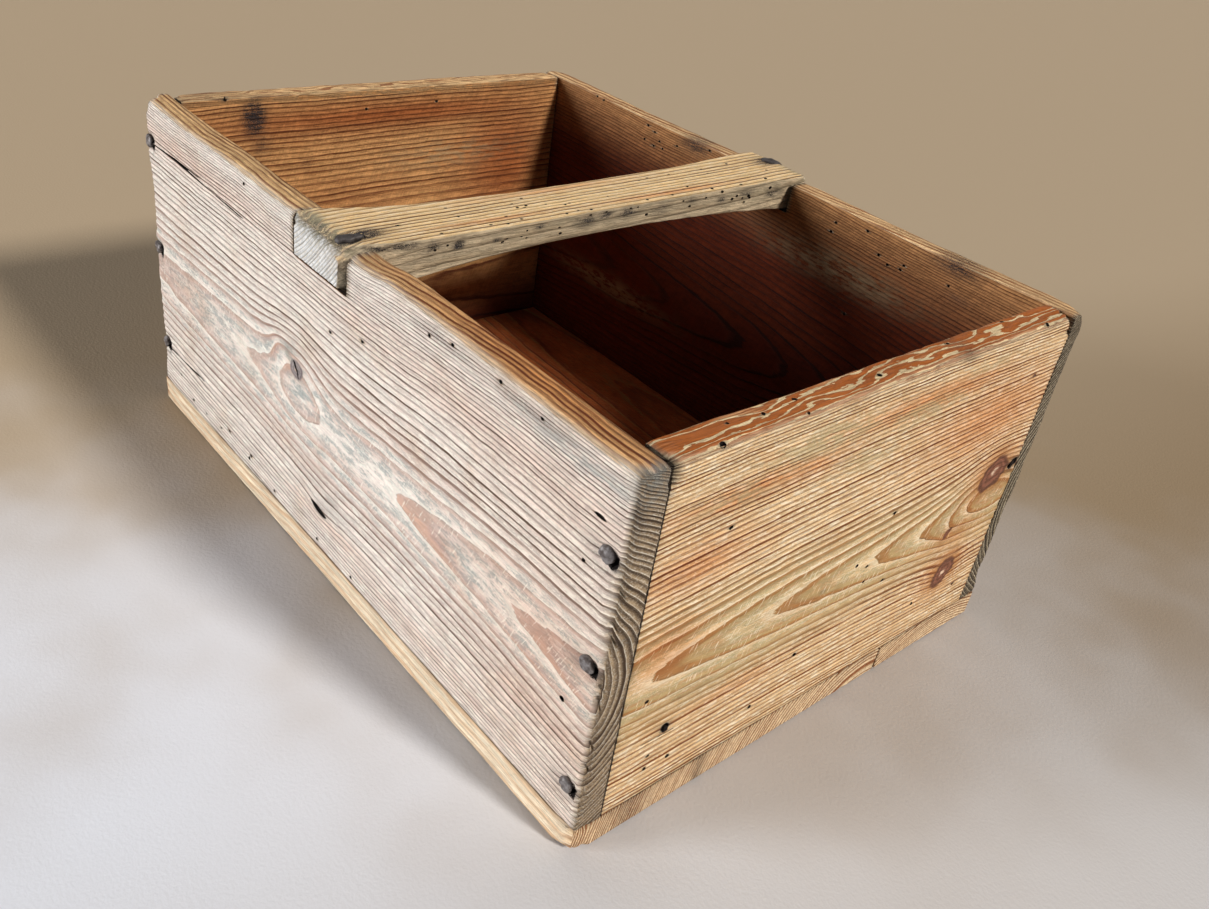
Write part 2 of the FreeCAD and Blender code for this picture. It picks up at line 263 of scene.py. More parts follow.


# ---------------------------------------------------------------- planks

# What a board can be marked with. Flames, stains with painted shadows among them, bleaches,
# blushes and warmths are spots for blots. A dip is a place along the worn top, its depth and
# its reach, and a hollow is the place of a nail along and across with its reach. What a crack
# is follows from crack_cutter's parameters.
MARKS = ("knots", "flames", "stains_and_shadows", "bleaches", "blushes", "warmths", "dips", "hollows", "holes",
         "cracks")

# Where in a ring, from 0 to 1, its hard wood stands highest.
HARD_CREST = 0.82
# The radius in millimetres that a log's rings are counted out to.
RINGS_END = 500


class Plank:
    """One board as it was sawn: its place, its grain, its log and its marks, in millimetres.

    grain, width and depth are the axes along the fibres, across the show face and through the
    board; outward is the side of the show face on the depth axis. The log's heart lies
    outside the show face, at the place heart across it: pith_depths gives how far outside, at
    the places pith_at along the grain. tips are the places where a ring just touches the face
    tip_depth behind the show face. Rings are wide_ring thick there and thin to tight_ring over
    the next tight_from. wave is how uneven they are, and meander how much they wander along
    the top. form bends the finished board. The inside darkens with painted shade, and some dark
    staining, from the first height in dark_below down to the second, and end_turn
    says between which slants of the surface the end grain sets in.
    """

    def __init__(self, node, grain, width, outward, heart, seed, wave, pith_at, pith_depths,
                 tight_ring, tight_from, wide_ring=4.4, tips=(0,), tip_depth=0, meander=0, form=None,
                 dark_below=(205, 70), end_turn=(0.3, 0.52), **marks):
        self.node = node
        self.low, self.high = (np.array(corner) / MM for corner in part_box(node))
        self.grain, self.width, self.outward = grain, width, outward
        self.depth = 3 - grain - width
        self.upright = width == Z
        self.heart, self.pith_at, self.pith_depths = heart, pith_at, pith_depths
        self.seed, self.wave, self.meander = seed, wave, meander
        self.dark_below, self.end_turn = dark_below, end_turn
        self.form = form or (lambda points: points)
        tip_radii = np.interp(tips, pith_at, pith_depths) + tip_depth
        self.radii = self.ring_radii(tip_radii, wide_ring, tight_ring, tight_from)
        self.cuts = []
        for mark in MARKS:
            setattr(self, mark, marks.get(mark, []))

    def ring_radii(self, tip_radii, wide_ring, tight_ring, tight_from):
        """Radii of the rings' outer edges: through the tips, then tighter towards the bark."""
        chance = np.random.default_rng(self.seed)
        radii = sorted(tip_radii)
        last_tip = radii[-1]
        while radii[0] > 0:
            radii.insert(0, radii[0] - wide_ring * chance.uniform(0.85, 1.15))
        while radii[-1] < RINGS_END:
            usual = np.interp(radii[-1] - last_tip, [0, tight_from], [wide_ring, tight_ring])
            radii.append(radii[-1] + usual * chance.uniform(0.75, 1.25))
        return np.array(radii)

    def place(self, points):
        """Distances along the grain, across the face and inwards from the show face."""
        face = self.high[self.depth] if self.outward > 0 else self.low[self.depth]
        return points[:, self.grain], points[:, self.width], self.outward * (face - points[:, self.depth])

    def to_end(self, along):
        """Distance to the nearer end of the board."""
        return np.minimum(along - self.low[self.grain], self.high[self.grain] - along)

    def rings(self, points):
        """The ring count at each point, and how flat the rings lie to the show face.

        Near a meandering top the count changes little with depth, so a few rings run along it.
        """
        along, across, depth = self.place(points)
        top = self.high[self.width]
        level = soft_step(across, top - 5, top - 2) * (self.meander > 0)
        inward = np.where(depth > 6, 6 + (depth - 6) * (1 - 0.93 * level), depth)
        heart = self.heart + self.wave * 1.6 * plane_noise(along / 170, along * 0, self.seed)
        pith = np.interp(along, self.pith_at, self.pith_depths)
        away = np.hypot(across - heart, inward + pith)
        flatness = (inward + pith) / away
        calm = soft_step(np.abs(across - heart), 2, 30)
        away = away + self.wave * 0.55 * calm * plane_noise(along / 60, across / 26, self.seed + 1)
        away = away + self.wave * 0.16 * plane_noise(along / 13, across / 5, self.seed + 2)
        for mark in self.knots:
            push = ((along - mark["along"]) / mark["reach"][0]) ** 2
            push = push + ((across - mark["across"]) / mark["reach"][1]) ** 2
            away = away - mark["swell"] * np.exp(-push)
        count = np.interp(away, self.radii, np.arange(len(self.radii)))
        if self.meander:
            bend = 0.8 * plane_noise(along / 34, depth / 8, self.seed + 20)
            bend = bend + 0.35 * plane_noise(along / 11, depth / 4, self.seed + 21)
            slope = 0.17 * np.maximum(depth - 3, 0)
            count = count + self.meander * level * (slope + soft_step(depth, 2, 7) * bend)
        return count, flatness

    def knot_distance(self, points):
        """Distance to the nearest knot in units of its radius, 3 at most; it runs right through."""
        along, across, _ = self.place(points)
        nearest = np.full(len(points), 3.0)
        for mark in self.knots:
            if mark["radius"]:
                right, up = along - mark["along"], across - mark["across"]
                turn = math.radians(mark["tilt"])
                wide, high = (mark["radius"] * part for part in mark["shape"])
                distance = np.hypot((right * math.cos(turn) + up * math.sin(turn)) / wide,
                                    (up * math.cos(turn) - right * math.sin(turn)) / high)
                nearest = np.minimum(nearest, distance)
        return nearest


def knot(along, across, radius, swell, reach, shape=(1, 1), tilt=0):
    """A knot: its place, its radius, and how far it swells the rings aside over what reach.

    A knot of radius 0 only swells them. shape and tilt, in degrees, make an oval of a round one.
    """
    return {"along": along, "across": across, "radius": radius, "swell": swell, "reach": reach,
            "shape": shape, "tilt": tilt}


def worm_holes(face, *places, size=1.0):
    """Worm holes at places along and across a face, each with its share of the usual diameter."""
    return [(along, across, size, face) for along, across in places]


def scattered(face, seed, count, along, across):
    """Worm holes scattered over part of a face."""
    chance = np.random.default_rng(seed)
    return [(chance.uniform(*along), chance.uniform(*across), chance.uniform(0.65, 1.2), face)
            for _ in range(count)]


# Where the nails are: along a side board and up it, and along the bar and across it.
CORNER_NAILS = {"left": (-263, (55, 136, 218)), "right": (257, (46, 132, 199))}
NAIL_PLACES = [(along, height) for along, heights in CORNER_NAILS.values() for height in heights]
BAR_NAILS = {"front": (-181.5, 8), "back": (187, -3)}


def notch_form(points):
    """Slants the left wall of the front notch, so that it follows the narrowing bar."""
    formed = points.copy()
    slant = np.interp(points[:, Y], [-191, -180, -172], [0.5, 2.8, 6])
    near = soft_step(points[:, X], -80, -41) * (points[:, X] < -40.9)
    formed[:, X] += slant * near * soft_step(points[:, Z], 200, 221.5)
    return formed


def front_side():
    """Near long wall: a long row of flames, a grey knot left of the middle, a split below it."""
    return Plank(
        "front_side_board", X, Z, -1, heart=122, seed=11, wave=1.6,
        pith_at=[-270, 87, 270], pith_depths=[57, 49, 41.8], tips=[-108, 87, 203],
        tight_ring=1.6, tight_from=85, form=notch_form,
        knots=[knot(-38.6, 143, 7.5, 8, (33, 34), shape=(1.1, 1)), knot(-7.5, 51.5, 0, 3, (22, 12)),
               knot(-62, 150, 0, 3, (12, 10))],
        flames=[(-62, 146, 30, 16, 1.0), (-36, 124, 22, 12, 0.7), (110, 118, 52, 16, 1.0),
                (226, 112, 44, 18, 0.85), (20, 130, 60, 9, 0.5), (165, 112, 60, 30, 0.5)],
        stains_and_shadows=[(2, 253, 34, 5, 0.55), (-7.5, 52, 7, 4, 0.8), (8, 66, 16, 10, 0.3),
                (200, 241, 36, 5, 0.45, 0, 6), (120, 241, 24, 4, 0.4, 0, 6), (-34, 141, 8, 7, 0.4),
                (269, 247, 5, 10, 0.5, 10, 14), (272, 226, 2.6, 15, 0.9, 2, 7),
                (272, 196, 2.4, 22, 0.4, 1, 4), (268, 152, 3, 3, 0.5)]
               # The dark crescent right of each nail head is its painted shadow; the wide faint spot after
               # it is iron staining.
               + [(along + 5.6, height - 1, 2.6, 5.5, 1.6) for along, height in NAIL_PLACES]
               + [(along - 4, height - 1, 12, 7, 0.35) for along, height in NAIL_PLACES],
        bleaches=[(-30, 128, 26, 7, 0.7), (268, 247, 5, 8, 0.6, 10, 12), (-48, 152, 9, 6, 0.8),
                  (150, 122, 60, 7, 0.2), (12, 132, 22, 6, 0.5), (235, 236, 40, 5, 0.5)],
        blushes=[(-190, 226, 150, 10, 0.7), (140, 214, 190, 16, 0.5), (60, 160, 70, 9, 0.4),
                 (230, 128, 60, 10, 0.5), (-60, 80, 70, 8, 0.4), (10, 46, 60, 7, 0.6),
                 (230, 75, 50, 12, 0.5), (120, 35, 90, 8, 0.5), (-200, 120, 60, 8, 0.3)],
        warmths=[(180, 252, 110, 14, 0.7, 12, 10), (60, 252, 30, 8, 0.4, 14, 6),
                 (250, 110, 110, 110, 0.2)],
        dips=[(34, 3.4, 22), (-200, 0.8, 60), (190, 0.8, 50)],
        hollows=[(along + 2, height, 9) for along, height in NAIL_PLACES],
        cracks=[(-234, 219, 60, 0.9, -2), (-172, 218.4, 62, 0.7, 1), (250, 216, 3.6, 1.9, 0),
                (-234, 54, 44, 0.7, -2), (-10, 52, 9, 4.4, 8), (-40, 145, 4, 1.4, 50),
                (-36.5, 141, 3, 1.0, 80)]
               + [(along + 4.7, height - 1, 1.9, 7.4, 8) for along, height in NAIL_PLACES],
        holes=worm_holes("show", (-236, 38.4), (-214, 27), (-190, 27.5), (-163, 30), (-148, 35),
                         (-115, 30), (-112, 34), (-75, 26), (-12, 25), (34, 24.6), (42, 202.6),
                         (108, 238), (129, 243), (244, 187), (-106, 242), (170, 244), (203, 242), (5, 191))
              + worm_holes("show", (245, 98.5), size=1.6)
              + scattered("inside", 5, 12, (-250, 250), (60, 240)))


def back_side():
    """Far long wall, seen from inside: dark flames that point the other way, stained spots at the top."""
    return Plank(
        "back_side_board", X, Z, 1, heart=109, seed=23, wave=1.5,
        pith_at=[-270, -138, -65, 26, 74, 270], pith_depths=[27, 33, 37, 41, 45, 58],
        # Painted shade darkens this board's whole inside, most of all below 182 mm.
        tips=[-138, -65, 26, 74], tip_depth=19, tight_ring=1.7, tight_from=80, dark_below=(290, 182),
        stains_and_shadows=[(-70, 246, 16, 7, 0.9), (183, 247, 18, 6, 0.9), (190, 226, 10, 4, 0.4),
                (271, 200, 4, 30, 0.4, 2, 5)]
               + [(along, height, 7, 5, 0.5, 0, 5) for along, height in NAIL_PLACES],
        bleaches=[(90, 205, 60, 12, 0.35), (-150, 90, 70, 9, 0.4)],
        blushes=[(-120, 200, 120, 14, 0.6), (120, 120, 100, 12, 0.6)],
        dips=[(-120, 1.2, 70), (150, 1.4, 60)],
        hollows=[(along, height, 9) for along, height in NAIL_PLACES],
        cracks=[(-150, 60, 70, 0.8, 1), (60, 200, 50, 0.7, -1)],
        holes=worm_holes("inside", (-195, 249), (-186, 248), (-127, 245), (-118, 242), (-111, 236),
                         (-106, 231), (-129, 232), (-117, 230), (-90, 239), (-54, 247), (80, 238),
                         (108, 243), (78, 230), (122, 230), (131, 226), (142, 227), (144, 231),
                         (181, 232), (108, 177))
              + scattered("show", 6, 14, (-250, 250), (40, 240)))


def right_end():
    """Near short wall: golden, with four knots towards the back corner and a ragged split."""
    return Plank(
        "right_end_board", Y, Z, 1, heart=116, seed=31, wave=1.1, meander=1.1,
        pith_at=[-172, -155, -59.5, 27.8, 79, 172], pith_depths=[47, 46, 42.5, 39.2, 35.9, 31],
        tips=[-155.3, -59.5, 27.8, 79.5], wide_ring=3.6, tight_ring=2.1, tight_from=90,
        knots=[knot(143.8, 142, 12.5, 9, (40, 36), shape=(1.3, 1.1), tilt=46),
               knot(111.3, 104.6, 4, 1.5, (12, 9), shape=(1.5, 0.7), tilt=46),
               knot(126.4, 66, 9, 4.5, (26, 18), shape=(1.6, 1.2), tilt=48),
               knot(146, 214, 1.8, 0.6, (6, 4))],
        stains_and_shadows=[(-135, 68, 4, 3, 1.0), (165, 143, 6, 5, 1.2), (146, 214, 3, 2, 0.6),
                (-20, 112, 3, 2, 0.5), (-120, 88, 26, 2.5, 0.25), (60, 250, 8, 6, 0.4)],
        bleaches=[(-60, 230, 50, 10, 0.65), (30, 222, 40, 8, 0.6), (-20, 205, 30, 9, 0.5),
                  (-120, 215, 40, 8, 0.5), (90, 236, 40, 5, 0.4),
                  (-110, 92, 50, 9, 0.3), (-30, 118, 40, 8, 0.3)],
        blushes=[(-80, 70, 40, 6, 0.5), (40, 228, 80, 8, 1.0), (-150, 130, 28, 18, 0.8),
                 (-40, 113, 26, 10, 0.25), (143, 142, 30, 24, 0.9), (124, 69, 26, 20, 0.9),
                 (120, 100, 30, 12, 0.7), (-100, 215, 70, 8, 0.9), (110, 195, 70, 30, 0.85),
                 (-140, 180, 40, 14, 0.8)],
        cracks=[(-135.2, 67.8, 2.6, 4.4, 0), (-134.6, 66, 2.0, 3.4, 60), (165.5, 143.5, 5, 5, 20),
                (165.5, 142, 3.4, 3.4, 60), (-140, 63, 12, 0.6, -3)],
        holes=worm_holes("show", (-121.6, 197), (-155, 98), (-144, 50.6), (-144.6, 40.6), (-60, 40.6),
                         (-29, 67), (23, 101.5), (45.6, 93), (168, 241), (97.6, 50), (149, 45.7),
                         (-127, 40), (21, 114), (9.5, 119), (32, 150))
              + scattered("inside", 9, 10, (-160, 160), (60, 240))
              + scattered("edge", 12, 9, (-160, 160), (252, 268)))


def left_end():
    """Far short wall: wide straight rings inside and a soft black stained patch near the top."""
    return Plank(
        "left_end_board", Y, Z, -1, heart=62, seed=43, wave=1.6, meander=1.4,
        pith_at=[-172, 172], pith_depths=[70, 62], tip_depth=21,
        wide_ring=5.4, tight_ring=2.8, tight_from=150, dark_below=(90, 20),
        stains_and_shadows=[(-117, 234, 8, 13, 1.9, 21, 6), (-112, 212, 7, 10, 0.6, 21, 6),
                (-75, 193, 5, 5, 0.4, 21, 6), (-150, 250, 30, 5, 0.4)],
        bleaches=[(60, 190, 60, 12, 0.3), (0, 248, 170, 4, 0.3, 21, 6)],
        blushes=[(0, 228, 170, 13, 1.0), (-60, 160, 90, 20, 0.3), (120, 180, 55, 60, 1.0, 21, 10)],
        cracks=[(50, 208, 50, 0.7, 1)],
        holes=worm_holes("inside", (-139, 249), (-23, 234), (43, 236))
              + scattered("show", 7, 12, (-160, 160), (40, 240)))


def front_floor():
    """Wide floor board; its end grain curves round a heart below the back seam."""
    return Plank(
        "front_floor_board", X, Y, -1, heart=64, seed=53, wave=1.4,
        pith_at=[-270, 270], pith_depths=[60, 42], tips=[-100, 150],
        wide_ring=3.6, tight_ring=2.0, tight_from=140,
        stains_and_shadows=[(271, -150, 4, 14, 0.4), (271, -95, 4, 5, 0.6)], blushes=[(262, 20, 30, 50, 0.9)],
        cracks=[(-60, -60, 70, 0.8, 1)], holes=scattered("show", 3, 8, (-240, 240), (-180, 60)))


def back_floor():
    """Narrow floor board behind the seam: fine rings, far from the heart of its log."""
    return Plank(
        "back_floor_board", X, Y, -1, heart=150, seed=59, wave=1.2,
        pith_at=[-270, 270], pith_depths=[120, 110], wide_ring=3.0, tight_ring=2.2, tight_from=140)


# Sections of the bar, from front to back: where, its left and right side, its top and underside.
BAR_SECTIONS = (
    (-191, -40.5, 14.5, 250, 221),
    (-180, -38, 20, 250.5, 221),
    (-169, -33.5, 24.5, 251, 221.5),
    (-150, -27, 27.5, 251.3, 225),
    (-100, -22, 28.5, 251, 230.5),
    (0, -20.5, 28, 251, 234),
    (100, -22, 28.5, 252, 231.8),
    (150, -25.5, 30, 253, 229.5),
    (172, -27, 31.8, 253.8, 228.5),
    (191, -27.5, 33.2, 254, 228),
)


def bar_form(points):
    """Puts points of the bar's block on the real bar: waisted, arched below and narrow in front."""
    low, high = (np.array(corner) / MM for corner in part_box("carry_bar"))
    right, up = (points[:, X] - low[X]) / (high[X] - low[X]), (points[:, Z] - low[Z]) / (high[Z] - low[Z])
    stops, *edges = zip(*BAR_SECTIONS)
    left_side, right_side, top, under = (smooth_path(points[:, Y], stops, edge) for edge in edges)
    lean = 2.5 * (1 - up)
    formed = points.copy()
    formed[:, X] = left_side + right * (right_side - left_side - lean)
    formed[:, Z] = under + up * (top - under)
    return formed


def carry_bar_wood():
    """The bar: slanting rings, worm holes over its top and sides, black stained streaks along the right,
    and painted shadow in the gap at the front notch.
    """
    return Plank(
        "carry_bar", Y, X, 1, heart=-130, seed=61, wave=0.6, form=bar_form,
        pith_at=[-191, 191], pith_depths=[103, 112], wide_ring=3.4, tight_ring=3.0, tight_from=300,
        end_turn=(0.75, 0.92),
        stains_and_shadows=[(-176, 9, 15, 6, 2.6, 3, 5), (-160, 11, 9, 1.6, 0.8, 0, 3), (185, -3, 12, 7, 2.6, 0, 4),
                # The next two spots paint the shadow in the gap between the bar's right side and the front
                # notch.
                (-178.5, 21, 5, 9, 6, 22, 9), (-173, 26, 8, 6, 1.8, 4.6, 1.3),
                (-188.5, -12, 5, 36, 0.8, 4, 5), (-186, 14, 5, 8, 0.6, 4, 4)]
               + [(along, 29, long, 5, dark * 1.5, deep, high) for along, long, dark, deep, high in (
                   (-158, 12, 0.9, 4, 2.5), (-138, 5, 0.7, 7, 4), (-120, 3.5, 1.3, 8, 3),
                   (-92, 2, 1.0, 9, 2), (-60, 4, 0.8, 5, 2), (-22, 9, 0.8, 7, 4), (-6, 7, 0.9, 5, 3),
                   (14, 10, 0.7, 6, 4), (44, 8, 0.6, 8, 4), (74, 6, 0.5, 5, 3), (104, 4, 0.8, 8, 3),
                   (128, 8, 0.5, 6, 4), (158, 9, 0.6, 9, 4))],
        bleaches=[(-187, -10, 6, 40, 1.6, 4, 6), (188, 20, 6, 14, 0.7), (140, 30, 30, 5, 0.4, 8, 8),
                  (-10, 30, 60, 5, 0.4, 6, 5)],
        blushes=[(60, 18, 60, 3, 0.9), (-20, -14, 60, 4, 0.6), (-90, 16, 40, 2.5, 0.9)],
        hollows=[(along, across, 9) for along, across in BAR_NAILS.values()],
        holes=worm_holes("show", (-105.6, -18), (-105.6, 0.4), (-61, -0.8), (-61, -9.2), (-56.4, 1.2),
                         (-53.7, -1.9), (-76.8, 12.7), (-39.8, 1.9), (-27.5, 8.1), (-22.9, 6.9),
                         (-25.6, 24), (-36.4, 26), (-48.7, -18), (10.2, 6.2), (-16, 26), (53.2, -16.9),
                         (62.8, -19.5), (84, -19), (74.4, 16.5), (80.2, 12.7), (114.8, -5.8),
                         (116.7, -17.3), (145.5, -18), (-130, 26), (-94, 24), (-83, 27), (34, 25),
                         (58, 24), (96, 25), (124, 27), (152, 24), (166, 9), (-148, 4), (-70, 22))
              + scattered("edge", 15, 26, (-150, 160), (231, 249))
              + scattered("far edge", 16, 8, (-150, 160), (232, 246)))


# ---------------------------------------------------------------- mesh work

def deselect_all():
    """Leaves edit mode and selects nothing."""
    if bpy.context.object and bpy.context.object.mode != "OBJECT":
        bpy.ops.object.mode_set(mode="OBJECT")
    bpy.ops.object.select_all(action="DESELECT")


def make_active(piece):
    """Selects the piece alone and makes it the active object."""
    deselect_all()
    piece.select_set(True)
    bpy.context.view_layer.objects.active = piece


def new_block(name, low, high):
    """A block primitive between two corners in millimetres, its place put into its mesh."""
    deselect_all()
    middle, size = (low + high) / 2 * MM, (high - low) * MM
    bpy.ops.mesh.primitive_cube_add(size=1, location=middle, scale=size)
    piece = bpy.context.object
    piece.name = piece.data.name = name
    bpy.ops.object.transform_apply(location=True, rotation=True, scale=True)
    return piece


def cut_lines(axis, places):
    """Scores the mesh in edit mode right round, square to the axis, at each place in mm."""
    for place in places:
        bpy.ops.mesh.select_all(action="SELECT")
        point, normal = [0, 0, 0], [0, 0, 0]
        point[axis], normal[axis] = place * MM, 1
        bpy.ops.mesh.bisect(plane_co=point, plane_no=normal)


def pick(piece, what, test):
    """Selects in edit mode the edges or faces that pass the test, and nothing else."""
    bpy.ops.mesh.select_mode(type="EDGE" if what == "edges" else "FACE")
    bpy.ops.mesh.select_all(action="DESELECT")
    mesh = bmesh.from_edit_mesh(piece.data)
    for item in getattr(mesh, what):
        item.select_set(bool(test(item)))
    mesh.select_flush_mode()
    bmesh.update_edit_mesh(piece.data)


def divide(piece, axis, stops, step):
    """Cuts the edges that run along the axis into equal parts, span by span between the stops."""
    for start, end in zip(stops, stops[1:]):
        cuts = round((end - start) / step) - 1
        if cuts < 1:
            continue

        def in_span(edge):
            first, second = (vertex.co[axis] / MM for vertex in edge.verts)
            sideways = (edge.verts[0].co - edge.verts[1].co).length / MM > abs(first - second) + 0.01
            return not sideways and start - 0.01 < min(first, second) and max(first, second) < end + 0.01

        pick(piece, "edges", in_span)
        bpy.ops.mesh.subdivide(number_cuts=cuts)


def span_stops(start, end, *between, longest=90):
    """Ascending stops from start to end through the places between, no span over longest."""
    stops = [start]
    for place in [*sorted(between), end]:
        parts = math.ceil((place - stops[-1]) / longest)
        first = stops[-1]
        stops += [first + (place - first) * (part + 1) / parts for part in range(parts)]
    return stops


def cut_notch(piece, plank, left, right, floor):
    """Opens the notch for the carry bar: the two faces and the top go, then its walls are bridged."""
    cut_lines(plank.grain, [left, right])
    cut_lines(plank.width, [floor])

    def inside(middle):
        along, across = middle[plank.grain] / MM, middle[plank.width] / MM
        return left < along < right and across > floor

    pick(piece, "faces", lambda face: inside(face.calc_center_median()))
    bpy.ops.mesh.delete(type="FACE")

    def on_outline(edge):
        middle = (edge.verts[0].co + edge.verts[1].co) / 2
        crosses = abs(edge.verts[0].co[plank.depth] - edge.verts[1].co[plank.depth]) > 1e-6
        below_top = middle[plank.width] / MM < plank.high[plank.width] - 0.01
        return edge.is_boundary and not crosses and below_top

    pick(piece, "edges", on_outline)
    bpy.ops.mesh.bridge_edge_loops()


def points_of(piece):
    """The piece's points in millimetres, one row each."""
    flat = np.empty(len(piece.data.vertices) * 3)
    piece.data.vertices.foreach_get("co", flat)
    return flat.reshape(-1, 3) / MM


def set_points(piece, points):
    """Moves the piece's points to places in millimetres."""
    piece.data.vertices.foreach_set("co", (points * MM).ravel())
    piece.data.update()


def normals_of(piece):
    """The directions that the piece's points face."""
    flat = np.empty(len(piece.data.vertices) * 3, dtype=np.float32)
    piece.data.vertex_normals.foreach_get("vector", flat)
    return flat.reshape(-1, 3).astype(float)


def store(piece, name, values, kind="FLOAT"):
    """Keeps a value for each point as an attribute, which a material can read by its name."""
    attribute = piece.data.attributes.new(name, kind, "POINT")
    attribute.data.foreach_set("value" if kind == "FLOAT" else "vector",
                               np.asarray(values, dtype=np.float32).ravel())


def subtract(piece, cutters):
    """Takes the cutters, joined into one, out of the piece, and removes them."""
    make_active(cutters[0])
    for cutter in cutters:
        cutter.select_set(True)
    bpy.ops.object.join()
    cutter = bpy.context.object
    make_active(piece)
    cut = piece.modifiers.new("holes", "BOOLEAN")
    cut.operation, cut.solver, cut.object = "DIFFERENCE", "MANIFOLD", cutter
    bpy.ops.object.modifier_apply(modifier=cut.name)
    bpy.data.objects.remove(cutter)


def keep_cut(plank, cutter, straight):
    """Notes where a cutter goes, as the matrix that makes it one unit wide at the origin."""
    plank.cuts.append((np.array(cutter.matrix_basis.inverted()), straight))


def off_cut(plank, points):
    """How far each point is from the nearest hole or split, in its radii: 0 on the wall, 2 at most."""
    nearest = np.full(len(points), 3.0)
    for to_unit, straight in plank.cuts:
        unit = points * MM @ to_unit[:3, :3].T + to_unit[:3, 3]
        if straight:
            distance = np.hypot(unit[:, 0], unit[:, 1]) + 9 * (np.abs(unit[:, 2]) > 1.05)
        else:
            distance = np.linalg.norm(unit, axis=1)
        nearest = np.minimum(nearest, distance)
    return np.maximum(nearest - 1, 0)


def worm_drill(plank, along, across, diameter, face, chance):
    """A thin eight-sided drill that enters a face of the plank at a slight slant."""
    deep = chance.uniform(3, 7)
    place = np.zeros(3)
    place[plank.grain] = along
    if face in ("show", "inside"):
        side = plank.outward if face == "show" else -plank.outward
        axis = plank.depth
        place[plank.width] = across
    else:
        side = 1 if face == "edge" else -1
        axis = plank.width
        place[plank.depth] = across
    place[axis] = (plank.high if side > 0 else plank.low)[axis]
    slant = chance.uniform(-0.35, 0.35, 2)
    turn = {X: (slant[0], math.pi / 2, slant[1]), Y: (math.pi / 2 + slant[0], 0, slant[1]),
            Z: (slant[0], slant[1], 0)}[axis]
    bpy.ops.mesh.primitive_cylinder_add(vertices=8, radius=1, depth=2, location=place * MM, rotation=turn)
    drill = bpy.context.object
    drill.scale = diameter / 2 * MM, diameter / 2 * MM, deep * MM
    keep_cut(plank, drill, straight=True)
    bpy.ops.object.transform_apply(location=True, rotation=True, scale=True)
    return drill


def crack_cutter(plank, along, across, half_length, opening, tilt):
    """A flat lens that leaves a split in the show face, tapering to nothing at both ends."""
    place = np.zeros(3)
    place[plank.grain], place[plank.width] = along, across
    side = plank.high if plank.outward > 0 else plank.low
    place[plank.depth] = side[plank.depth]
    bpy.ops.mesh.primitive_uv_sphere_add(segments=12, ring_count=8, radius=1, location=place * MM)
    cutter = bpy.context.object
    scale = [0, 0, 0]
    scale[plank.grain], scale[plank.width], scale[plank.depth] = half_length * MM, opening / 2 * MM, 7 * MM
    cutter.scale = scale
    turn = [0, 0, 0]
    turn[plank.depth] = math.radians(tilt)
    cutter.rotation_euler = turn
    keep_cut(plank, cutter, straight=False)
    bpy.ops.object.transform_apply(location=True, rotation=True, scale=True)
    return cutter


def soften(points, low, high, radius):
    """Moves the points of a block so that its arrises are round, each by a radius of its own."""
    radius = np.minimum(radius[:, None], (high - low) / 2.05)
    core = np.clip(points, low + radius, high - radius)
    out = points - core
    reach, distance = np.abs(out).max(axis=1), np.linalg.norm(out, axis=1)
    scale = np.divide(reach, distance, out=np.ones_like(reach), where=distance > 1e-9)
    return core + out * scale[:, None]


# ---------------------------------------------------------------- weathering a plank

def arris_radii(plank, points, wear):
    """The rounding at each point: large along the worn outer top, small at the joints.

    A side board's ends, which show at the corners of the chest, are worn too, and so are the
    bar's long arrises and its ends, and the floor's lower arrises and its near right corner.
    """
    along, across, inward = plank.place(points)
    to_end = plank.to_end(along)
    radius = np.full(len(points), wear.joint_arris / MM)
    radius = radius * (1 + 0.5 * plane_noise(along / 11, across / 11, plank.seed + 5))
    uneven = 1 + 0.22 * plane_noise(along / 45, along * 0, plank.seed + 6)
    uneven = uneven + 0.12 * plane_noise(along / 9, along * 0, plank.seed + 7)
    if plank.upright:
        top = plank.high[plank.width]
        near_top = soft_step(across, top - 15, top - 10)
        outer = 1 - soft_step(inward, 8.5, 12)
        radius = np.maximum(radius, near_top * (outer * 6.6 + (1 - outer) * 2.2) * uneven)
        if plank.grain == X:
            ragged = 1 + 0.25 * plane_noise(across / 14, across * 0, plank.seed + 10)
            foot = soft_step(across, plank.low[plank.width] + 2, plank.low[plank.width] + 24)
            radius = np.maximum(radius, (to_end < 12) * outer * (2 + 6 * foot) * ragged)
            radius = np.maximum(radius, (to_end < 12) * near_top * (1.5 + 8.5 * outer))
    elif plank.node == "carry_bar":
        radius = np.maximum(radius, 2.6 * uneven)
        nose = (1 - soft_step(to_end, 9, 14)) * (1 - soft_step(inward, 9, 13))
        to_side = np.minimum(across - plank.low[X], 9) / 9
        radius = np.maximum(radius, np.where(along < 0, 3.4 + 6.2 * to_side, 5) * nose)
    else:
        radius = np.maximum(radius, 1.6 * uneven * (inward < 10))
        if plank.node == "front_floor_board":
            worn_corner = np.hypot(along - plank.high[X], across - plank.low[Y])
            radius = np.maximum(radius, 7 * (1 - soft_step(worn_corner, 9, 16)))
    return radius


def lowered(plank, points):
    """How far the top has worn down at each point, fading out below it."""
    along, across, _ = plank.place(points)
    top = plank.high[plank.width]
    drop = 0.5 + 0.35 * plane_noise(along / 70, along * 0, plank.seed + 8)
    for middle, depth, reach in plank.dips:
        drop = drop + depth * np.exp(-((along - middle) / reach) ** 2)
    return drop * soft_step(across, top - 30, top)


def nail_hollow(plank, along, across):
    """Depth of the hollow that a driven nail has left in the show face."""
    deepest = 2.0
    hollow = np.zeros(len(along))
    for nail_along, nail_across, reach in plank.hollows:
        distance = np.hypot(along - nail_along, across - nail_across)
        hollow = np.maximum(hollow, deepest * (1 - soft_step(distance, reach * 0.5, reach)))
    return hollow


